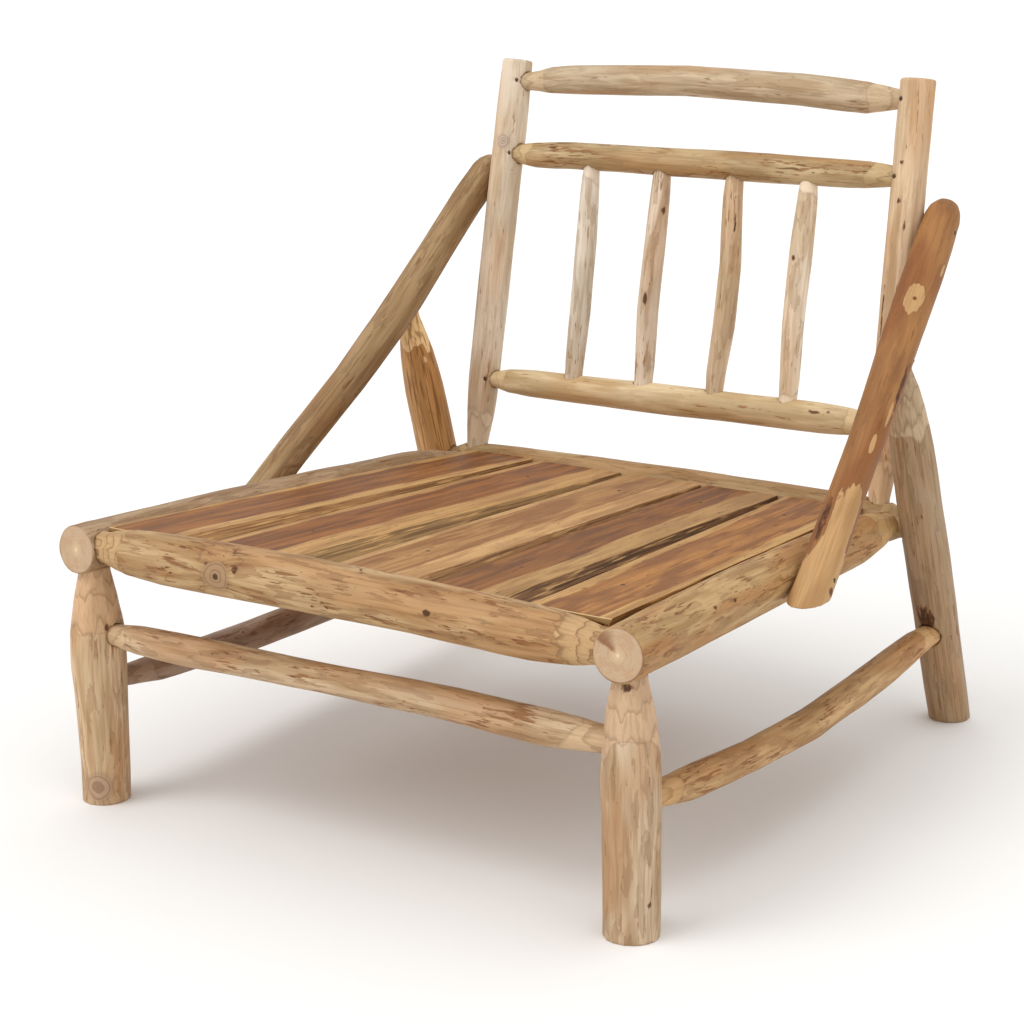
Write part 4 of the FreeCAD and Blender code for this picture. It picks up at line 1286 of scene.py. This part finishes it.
@dataclass(frozen=True)
class SawnTeak:
    """Boards sawn through the middle of a teak log, with their waney edge left on.

    The heart is red-brown and softly clouded, with a band of cream sapwood beside
    the natural edge, which keeps its brown streaky skin.
    """

    name: str
    tone: str
    heart: str = "#a26b3c"
    heart_deep: str = "#6f4322"
    sap: str = "#cca26e"
    sap_deep: str = "#a17648"
    wane: str = "#a0754a"
    wane_dark: str = "#765032"
    ring: float = 5.0
    roughness: float = 0.55

    def material(self) -> bpy.types.Material:
        """Build the material.

        Returns:
            The material, which reads the attributes grain and wood.
        """
        graph = Graph.of(self.name)
        grain = graph.attribute("grain")
        sizes = {
            "broad": (18, 190, 2.0),
            "line": (2.2, 150, 2.0),
            "band": (6, 240, 2.0),
            "bark": (4.5, 60, 3.0),
            "pore": (1.2, 11, 1.0),
            "cloud": (12, 90, 3.0),
            "dash": (1.8, 22, 1.0),
        }
        found = graph.patterns(grain, sizes)
        parts = graph.add("ShaderNodeSeparateXYZ", {0: graph.attribute("wood")})
        found.update(zip(("heart", "wane", "ends"), parts.outputs))
        found["heart"] = graph.swung(found["heart"], found, {"cloud": 0.9, "broad": 0.9})
        flat = graph.vector("MULTIPLY", grain, (1, 1, 0))
        found["ring"] = graph.rings(flat, self.ring, found, {"broad": 2.4, "cloud": 0.6})
        masks = graph.masks(
            found,
            {
                "heart": ("heart", 0.82, 1.0, 1.0),
                "border": ("heart", 0.4, 0.9, 0.25),
                "ring": ("ring", 0.2, 1.0, 0.25),
                "line": ("line", 0.48, 0.68, 0.3),
                "pore": ("pore", 0.66, 0.74, 0.45),
                "band": ("band", 0.44, 0.62, 0.55),
                "cloud": ("cloud", 0.42, 0.6, 0.85),
                "glow": ("broad", 0.5, 0.36, 0.4),
                "dash": ("dash", 0.7, 0.74, 0.8),
                "wane": ("wane", 0.35, 0.65, 1.0),
                "wane_streak": ("bark", 0.34, 0.5, 0.95),
                "wane_patch": ("line", 0.46, 0.6, 0.9),
                "ends": ("ends", 0.3, 0.7, 0.75),
            },
        )
        dark = graph.mix(masks["heart"], self.sap_deep, self.heart_deep)
        top = {
            "border": self.heart,
            "heart": self.heart,
            "cloud": dark,
            "band": dark,
            "ring": dark,
            "line": dark,
            "glow": graph.mix(masks["heart"], self.sap, self.heart),
            "pore": "#6b452a",
            "dash": "#5f3c24",
        }
        edge = {"wane_streak": self.wane, "wane_patch": self.wane_dark, "pore": "#4a2f1b"}
        # The sawn ends get a pale colour, paler than their end grain: painted light that lifts the
        # shade on the boards' front end faces.
        over = {"wane": graph.stack(self.sap, masks, edge), "ends": "#d9bd94"}
        coat = graph.stack(graph.stack(self.sap, masks, top), masks, over)
        relief = graph.math("SUBTRACT", found["line"], found["pore"])
        rough = (self.roughness + 0.06, self.roughness - 0.06)
        return graph.close(
            {
                "Base Color": graph.mix(1.0, coat, self.tone, blend_type="MULTIPLY"),
                "Roughness": graph.spread(found["cloud"], 0.3, 0.7, *rough),
                "IOR": 1.5,
                "Specular IOR Level": 0.22,
                "Normal": graph.bump(relief, 0.45, 0.3),
            }
        )


@dataclass(frozen=True)
class SawnBatten:
    """Plain sawn teak batten, unsanded, with faint saw lines across it."""

    name: str = "teak_bearer_sawn"
    pale: str = "#b58f63"
    dark: str = "#8e6840"

    def material(self) -> bpy.types.Material:
        """Build the material.

        Returns:
            The material, which reads object coordinates.
        """
        graph = Graph.of(self.name)
        place = graph.add("ShaderNodeTexCoord").outputs["Object"]
        grain, saw = (
            graph.noise(graph.vector("MULTIPLY", place, scale), 3.0)
            for scale in ((12.0, 600.0, 600.0), (350.0, 30.0, 30.0))
        )
        return graph.close(
            {
                "Base Color": graph.mix(graph.spread(grain, 0.35, 0.65), self.pale, self.dark),
                "Roughness": 0.75,
                "IOR": 1.5,
                "Specular IOR Level": 0.3,
                "Normal": graph.bump(saw, 0.5, 0.4),
            }
        )


@dataclass(frozen=True)
class BoardLook:
    """How one board was sawn: its finish, and where its heart and its pith lie.

    The heart has its middle and half its width in shares of the board's width, and
    the pith's depth is in millimetres.
    """

    finish: SawnTeak
    heart_place: float
    heart_half: float
    pith_depth: float


@dataclass
class SeatBoards:
    """Five tapered boards over the frame, each with a natural right edge."""

    pitch: float = 3.0 * MM
    ease: float = 1.3 * MM
    wobble: float = 1.6 * MM
    dip: float = 0.25 * MM
    scribe: float = 0.35 * MM
    near: float = 1.0 * MM
    end_skin: float = 0.5 * MM
    heart_fade: float = 10 * MM
    drift_share: float = 0.07
    drift_length: float = 200 * MM
    grain_shift: float = 2.3
    sharp: float = 50.0
    top_steps: int = 46
    side_steps: int = 12
    cuts: Point = (-200 * MM, 0.0, 110 * MM)
    looks: tuple[BoardLook, ...] = (
        BoardLook(
            SawnTeak("teak_board_1", "#f9f8eb", wane="#a57a4f", wane_dark="#7b5434"),
            0.47, 0.36, 14,
        ),
        BoardLook(
            SawnTeak("teak_board_2", "#f4efdf", wane="#9c7c54", wane_dark="#745638"),
            0.38, 0.29, 10,
        ),
        BoardLook(
            SawnTeak("teak_board_3", "#fffffd", heart="#b18654", heart_deep="#87592f"),
            0.40, 0.29, 18,
        ),
        BoardLook(
            SawnTeak("teak_board_4", "#eae9de", wane="#7d5638", wane_dark="#4f3421"),
            0.32, 0.34, 12,
        ),
        BoardLook(
            SawnTeak("teak_board_5", "#fffff2", "#b27c48", "#7d4e2a", wane="#a07244"),
            0.47, 0.36, 16,
        ),
    )

    @staticmethod
    def slice(corners: np.ndarray, faces: np.ndarray, place: float) -> np.ndarray:
        """Cut a solid by an upright plane across the seat.

        Args:
            corners: the solid's vertices.
            faces: its triangles.
            place: where along the seat the plane stands.

        Returns:
            Cut points, as places across the seat and heights.
        """
        found = []
        for a, b in ((0, 1), (1, 2), (2, 0)):
            first, second = corners[faces[:, a]], corners[faces[:, b]]
            crossed = (first[:, 1] < place) != (second[:, 1] < place)
            first, second = first[crossed], second[crossed]
            share = ((place - first[:, 1]) / (second[:, 1] - first[:, 1]))[:, None]
            found.append((first + share * (second - first))[:, [0, 2]])
        return np.vstack(found)

    def corner_lines(self, node: str) -> np.ndarray:
        """Find how the four corners of a board's section move from front to rear.

        Args:
            node: the board's CAD node.

        Returns:
            Slope and start of x and z, for top left, top right, foot right and foot left.
        """
        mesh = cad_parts[node].data
        corners = read_rows(mesh.vertices, "co", 3)
        faces = read_rows(mesh.polygons, "vertices", 3)
        rows = []
        for place in self.cuts:
            cut = self.slice(corners, faces, place)
            high, low = cut[:, 1].max(), cut[:, 1].min()
            top = cut[cut[:, 1] > high - self.near, 0]
            foot = cut[cut[:, 1] < low + self.near, 0]
            rows.append([top.min(), high, top.max(), high, foot.max(), low, foot.min(), low])
        return np.polyfit(self.cuts, np.array(rows), 1)

    def loop(self, corner: np.ndarray) -> tuple[np.ndarray, np.ndarray]:
        """Draw a board's section as a loop of points.

        Args:
            corner: its four corners, from the top left one on.

        Returns:
            The points, and 1 for those of the waney side and 0 for the others.
        """
        line, waney = [], []
        steps = (self.top_steps, self.side_steps, self.top_steps // 2, self.side_steps)
        for side, count in enumerate(steps):
            first, last = corner[side], corner[(side + 1) % 4]
            gap = min(0.2, self.ease / np.linalg.norm(last - first))
            eased = gap + np.linspace(0, 1, count) * (1 - 2 * gap)
            line.append(first + eased[:, None] * (last - first))
            waney.append(np.full(count, float(side == 1)))
        return np.vstack(line), np.concatenate(waney)

    def skinned(self, name: str, points: np.ndarray, count: int) -> bpy.types.Mesh:
        """Close rows of points into a board.

        Args:
            name: name of the mesh.
            points: places of the vertices, row after row.
            count: how many points a row has.

        Returns:
            The mesh, with its faces outward.
        """
        row = np.arange(count)
        start = np.arange(0, len(points) - count, count)[:, None]
        a, b = start + row, start + np.roll(row, -1)
        sides = np.stack([a, b, b + count, a + count], axis=-1).reshape(-1, 4).tolist()
        caps = [row[::-1].tolist(), (row + len(points) - count).tolist()]
        mesh = bpy.data.meshes.new(name)
        mesh.from_pydata(points.tolist(), [], sides + caps)
        shell = bmesh.new()
        shell.from_mesh(mesh)
        bmesh.ops.recalc_face_normals(shell, faces=shell.faces)
        shell.to_mesh(mesh)
        shell.free()
        mesh.shade_smooth()
        mesh.set_sharp_from_angle(angle=math.radians(self.sharp))
        return mesh

    def build_board(self, number: int, look: BoardLook, rails: list[Pith]) -> None:
        """Build one board.

        Args:
            number: the board's number, from the left.
            look: its finish and its heart.
            rails: the logs that it is scribed to.
        """
        node = f"seat_slat_{number}"
        low, high = np.array(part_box(node))
        slope, start = self.corner_lines(node)
        rows = np.arange(low[1], high[1] + self.pitch / 2, self.pitch)
        rows = np.linspace(low[1], high[1], len(rows))
        loops, heart, wane = [], [], []
        for row, place in enumerate(rows):
            corner = (slope * place + start).reshape(4, 2)
            end = min(row, len(rows) - 1 - row) * self.pitch
            pull = self.ease * (1 - min(1.0, end / self.ease)) * 0.8
            middle = corner.mean(axis=0)
            corner = corner + np.sign(middle - corner) * pull
            loop, waney = self.loop(corner)
            along = np.full(len(loop), place)
            spot = np.column_stack([loop[:, 0], loop[:, 1] * 3, along])
            rough = noise(spot / np.array([14, 14, 26]) / MM, 90 + number)
            coarse = noise(spot / np.array([50, 50, 80]) / MM, 80 + number)
            loop[:, 0] -= waney * self.wobble * (0.7 + 0.5 * rough + 0.6 * coarse)
            surface = noise(spot / np.array([40, 40, 90]) / MM, 70 + number)
            inward = np.sign(loop[:, 1] - middle[1])
            loop[:, 1] -= (1 - waney) * self.dip * (1 + surface) * inward
            loops.append(np.column_stack([loop[:, 0], along, loop[:, 1]]))
            width = corner[1][0] - corner[0][0]
            wander = noise(np.array([[place / self.drift_length, number * 3.3, 0.5]]), 60)
            drift = self.drift_share * wander[0]
            across = (loop[:, 0] - corner[0][0]) / width - look.heart_place - drift
            heart.append((look.heart_half - np.abs(across)) * width / self.heart_fade)
            wane.append(waney)
        points = np.vstack(loops)
        for rail in rails:
            reach, offset, distance = rail.read(points)
            inside = np.maximum(rail.at(reach, rail.radii) + self.scribe - distance, 0)
            points = rail.shifted(
                points, (inside / np.maximum(distance, TINY))[:, None] * offset
            )
        points = np.clip(points, low, high)
        mesh = self.skinned(node + "_board", points, len(loops[0]))
        centre = slope * points[:, 1:2] + start
        middle = centre[:, 0] + look.heart_place * (centre[:, 4] - centre[:, 0])
        grain = [
            points[:, 0] - middle,
            points[:, 2] - centre[:, 1] + look.pith_depth * MM,
            points[:, 1] + self.grain_shift * number,
        ]
        to_end = np.minimum(points[:, 1] - low[1], high[1] - points[:, 1])
        wood = [np.concatenate(heart), np.concatenate(wane), to_end < self.end_skin]
        keep_number(mesh, "grain", np.column_stack(grain))
        keep_number(mesh, "wood", np.column_stack(wood))
        settle(mesh.name, mesh, look.finish.material(), node)

    def build(self) -> None:
        """Build the five boards and give the bearers their finish."""
        rails = []
        for name in ("front_rail", "rear_rail", "side_rail_left", "side_rail_right"):
            mesh = bpy.data.objects[name + "_log"].data
            rails.append(Pith.of(mesh, read_rows(mesh.vertices, "co", 3)))
        for number, look in enumerate(self.looks, start=1):
            self.build_board(number, look, rails)
        batten = SawnBatten().material()
        for name in ("seat_bearer_front", "seat_bearer_rear"):
            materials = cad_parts[name].data.materials
            materials.clear()
            materials.append(batten)
            LOG.info("%s: finish only", name)


# Nails


@dataclass(frozen=True)
class DullSteel:
    """Plain drawn wire nail, dulled by handling."""

    name: str = "steel_nail_dull"
    bright: str = "#6a5138"
    dark: str = "#3a2a1c"

    def material(self) -> bpy.types.Material:
        """Build the material.

        Returns:
            The material, which reads object coordinates.
        """
        graph = Graph.of(self.name)
        place = graph.add("ShaderNodeTexCoord").outputs["Object"]
        pattern = graph.noise(place, 3.0, 900.0)
        return graph.close(
            {
                "Base Color": graph.mix(graph.spread(pattern, 0.4, 0.6), self.bright, self.dark),
                "Metallic": 0.6,
                "Roughness": graph.spread(pattern, 0.0, 1.0, 0.35, 0.65),
            }
        )


@dataclass
class Nails:
    """The nails of the joints and of the boards, one shape set at every place."""

    shank: float = 1.3 * MM
    head: float = 2.8 * MM
    head_thickness: float = 1.2 * MM
    sunk: float = 0.3 * MM
    slack: float = 0.1 * MM
    sides: int = 20
    rings: int = 8
    sharp: float = 40.0

    def places(self, node: str) -> tuple[np.ndarray, ...]:
        """Read where the nails of a CAD node stand.

        Args:
            node: the node, one solid for each nail.

        Returns:
            Middle of each head's outer face, direction from point to head, and length.
        """
        shell = bmesh.new()
        shell.from_mesh(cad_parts[node].data)
        bmesh.ops.remove_doubles(shell, verts=shell.verts, dist=WELD)
        left = set(shell.verts)
        tops, ways, lengths = [], [], []
        while left:
            start = left.pop()
            group, front = [start], {start}
            while front:
                near = {edge.other_vert(vert) for vert in front for edge in vert.link_edges}
                front = near & left
                left -= front
                group.extend(front)
            cloud = np.array([vert.co for vert in group])
            middle = (cloud.max(axis=0) + cloud.min(axis=0)) / 2
            way = np.linalg.svd(cloud - cloud.mean(axis=0), full_matrices=False)[2][0]
            reach = (cloud - middle) @ way
            girth = np.linalg.norm(cloud - middle - np.outer(reach, way), axis=1)
            way = way * np.sign(reach[girth.argmax()])
            reach = (cloud - middle) @ way
            ending = cloud[reach > reach.max() - self.slack]
            tops.append((ending.max(axis=0) + ending.min(axis=0)) / 2)
            ways.append(way)
            lengths.append(reach.max() - reach.min())
        shell.free()
        return np.array(tops), np.array(ways), np.array(lengths)

    def tree(self, finish: bpy.types.Material) -> bpy.types.NodeTree:
        """Build the tree that sets a nail on every point.

        Args:
            finish: the nails' material.

        Returns:
            The tree, with inputs for the nail's radii and the head's thickness.
        """
        tree = bpy.data.node_groups.new("nails_on_points", "GeometryNodeTree")
        sockets = {"Shank Radius": "Float", "Head Radius": "Float", "Head Thickness": "Float"}
        for name, kind in {"Geometry": "Geometry", **sockets}.items():
            tree.interface.new_socket(name, in_out="INPUT", socket_type="NodeSocket" + kind)
        tree.interface.new_socket("Geometry", in_out="OUTPUT", socket_type="NodeSocketGeometry")
        graph = Graph(tree)
        entry = graph.add("NodeGroupInput").outputs
        shank, head, thickness = (entry[name] for name in sockets)
        stored = "GeometryNodeInputNamedAttribute"
        way = graph.add(stored, {"Name": "way"}, data_type="FLOAT_VECTOR")
        length = graph.add(stored, {"Name": "length"}, data_type="FLOAT")
        turn = graph.add("FunctionNodeAlignRotationToVector", {"Vector": way}, axis="Z")
        rod = graph.add(
            "GeometryNodeMeshCylinder", {"Vertices": self.sides, "Radius": shank, "Depth": 1.0}
        )
        down = {"Geometry": rod, "Translation": (0, 0, -0.5)}
        feeds = {"Segments": self.sides, "Rings": self.rings, "Radius": head}
        ball = graph.add("GeometryNodeMeshUVSphere", feeds)
        half = graph.math("MULTIPLY", graph.math("DIVIDE", thickness, head), 0.5)
        squash = graph.add("ShaderNodeCombineXYZ", {0: 1.0, 1: 1.0, 2: half})
        lower = graph.add("ShaderNodeCombineXYZ", {2: graph.math("MULTIPLY", thickness, -0.5)})
        dome = {"Geometry": ball, "Translation": lower, "Scale": squash}
        stretch = graph.add("ShaderNodeCombineXYZ", {0: 1.0, 1: 1.0, 2: length})
        both = graph.add("GeometryNodeJoinGeometry")
        for shape, scale in ((down, {"Scale": stretch}), (dome, {})):
            feeds = {"Points": entry["Geometry"], "Rotation": turn, **scale}
            feeds["Instance"] = graph.add("GeometryNodeTransform", shape)
            copies = graph.add("GeometryNodeInstanceOnPoints", feeds)
            tree.links.new(copies.outputs[0], both.inputs[0])
        real = graph.add("GeometryNodeRealizeInstances", {0: both})
        painted = graph.add("GeometryNodeSetMaterial", {"Geometry": real, "Material": finish})
        graph.add("NodeGroupOutput", {0: painted})
        return tree

    def build(self) -> None:
        """Build both sets of nails."""
        finish = DullSteel().material()
        tree = self.tree(finish)
        sizes = {
            "Shank Radius": self.shank,
            "Head Radius": self.head,
            "Head Thickness": self.head_thickness,
        }
        for node in ("slat_nails", "joint_nails"):
            tops, ways, lengths = self.places(node)
            mesh = bpy.data.meshes.new("nail_places")
            mesh.from_pydata(tops.tolist(), [], [])
            keep_number(mesh, "way", ways)
            keep_number(mesh, "length", lengths - self.sunk)
            work = put("nail_places", mesh)
            change = work.modifiers.new("nails", "NODES")
            change.node_group = tree
            for item in tree.interface.items_tree:
                if item.name in sizes:
                    change[item.identifier] = sizes[item.name]
            made = applied(work)
            made.shade_smooth()
            made.set_sharp_from_angle(angle=math.radians(self.sharp))
            settle(node + "_set", made, finish, node)


# Studio


@dataclass(frozen=True)
class PaintedFloor:
    """Matt white studio floor, with the faint mottling of rolled paint."""

    name: str = "paint_floor_matt"
    colour: str = "#f4f3f1"

    def material(self) -> bpy.types.Material:
        """Build the material.

        Returns:
            The material, which reads object coordinates.
        """
        graph = Graph.of(self.name)
        place = graph.add("ShaderNodeTexCoord").outputs["Object"]
        rough = graph.spread(graph.noise(place, 2.0, 60.0), 0.0, 1.0, 0.8, 0.95)
        return graph.close({"Base Color": to_linear(self.colour), "Roughness": rough})


@dataclass
class Studio:
    """Floor, soft lights and the camera at the photograph's angle."""

    azimuth: float = 33.7
    elevation: float = 14.84
    roll: float = -0.62
    place: Point = (1.4186, -2.1855, 0.9732)
    lens: float = 86.34
    sensor: float = 36.0
    sight: float = 60.0
    floor_half: float = 45.0
    floor_cells: int = 8
    lamp_reach: float = 3.0
    lamps: tuple[tuple[str, Point, float, float], ...] = (
        # name, the side that it shines from, width in degrees, strength
        ("key", (-0.5, -0.75, 0.95), 40.0, 1.1),
        ("top", (0.1, 0.2, 1.0), 90.0, 0.55),
        ("fill", (0.9, -0.5, 0.5), 70.0, 0.35),
    )
    air: float = 0.76

    def camera(self) -> None:
        """Set the camera."""
        turn, tilt, lean = (math.radians(v) for v in (self.azimuth, self.elevation, self.roll))
        level = math.cos(tilt)
        back = Vector((math.sin(turn) * level, -math.cos(turn) * level, math.sin(tilt)))
        right = Vector((math.cos(turn), math.sin(turn), 0.0))
        up = back.cross(right)
        leaned = math.cos(lean) * right + math.sin(lean) * up
        risen = -math.sin(lean) * right + math.cos(lean) * up
        lens = bpy.data.cameras.new("studio_camera")
        lens.lens = self.lens
        lens.sensor_width = self.sensor
        lens.clip_end = self.sight
        camera = put("studio_camera", lens)
        turned = Matrix((leaned, risen, back)).transposed().to_4x4()
        camera.matrix_world = Matrix.Translation(self.place) @ turned
        bpy.context.scene.camera = camera

    def lights(self) -> None:
        """Set the lamps and the pale surroundings."""
        for name, side, width, strength in self.lamps:
            lamp = bpy.data.lights.new("studio_" + name, "SUN")
            lamp.angle = math.radians(width)
            lamp.energy = strength
            holder = put("studio_" + name, lamp)
            holder.location = Vector(side) * self.lamp_reach
            holder.rotation_euler = (-Vector(side)).to_track_quat("-Z", "Y").to_euler()
        world = bpy.data.worlds.new("studio_air")
        world.use_nodes = True
        ground = world.node_tree.nodes["Background"]
        ground.inputs[0].default_value = to_linear("#ffffff")
        ground.inputs[1].default_value = self.air
        bpy.context.scene.world = world
        bpy.context.scene.view_settings.view_transform = "Standard"

    def floor(self) -> None:
        """Lay the floor."""
        shell = bmesh.new()
        cells = self.floor_cells
        bmesh.ops.create_grid(shell, x_segments=cells, y_segments=cells, size=self.floor_half)
        mesh = bpy.data.meshes.new("studio_floor")
        shell.to_mesh(mesh)
        shell.free()
        mesh.materials.append(PaintedFloor().material())
        put("studio_floor", mesh)

    def build(self) -> None:
        """Set up the whole studio."""
        self.camera()
        self.lights()
        self.floor()


def main() -> None:
    """Build the dressed chair."""
    logging.basicConfig(level=logging.INFO, format="%(message)s")
    parts = (SeatFrame(), Legs(), Stretchers(), Arms(), Back(), SeatBoards(), Nails(), Studio())
    for part in parts:
        LOG.info("building %s", type(part).__name__)
        part.build()
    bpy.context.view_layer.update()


if __name__ == "__main__":
    main()
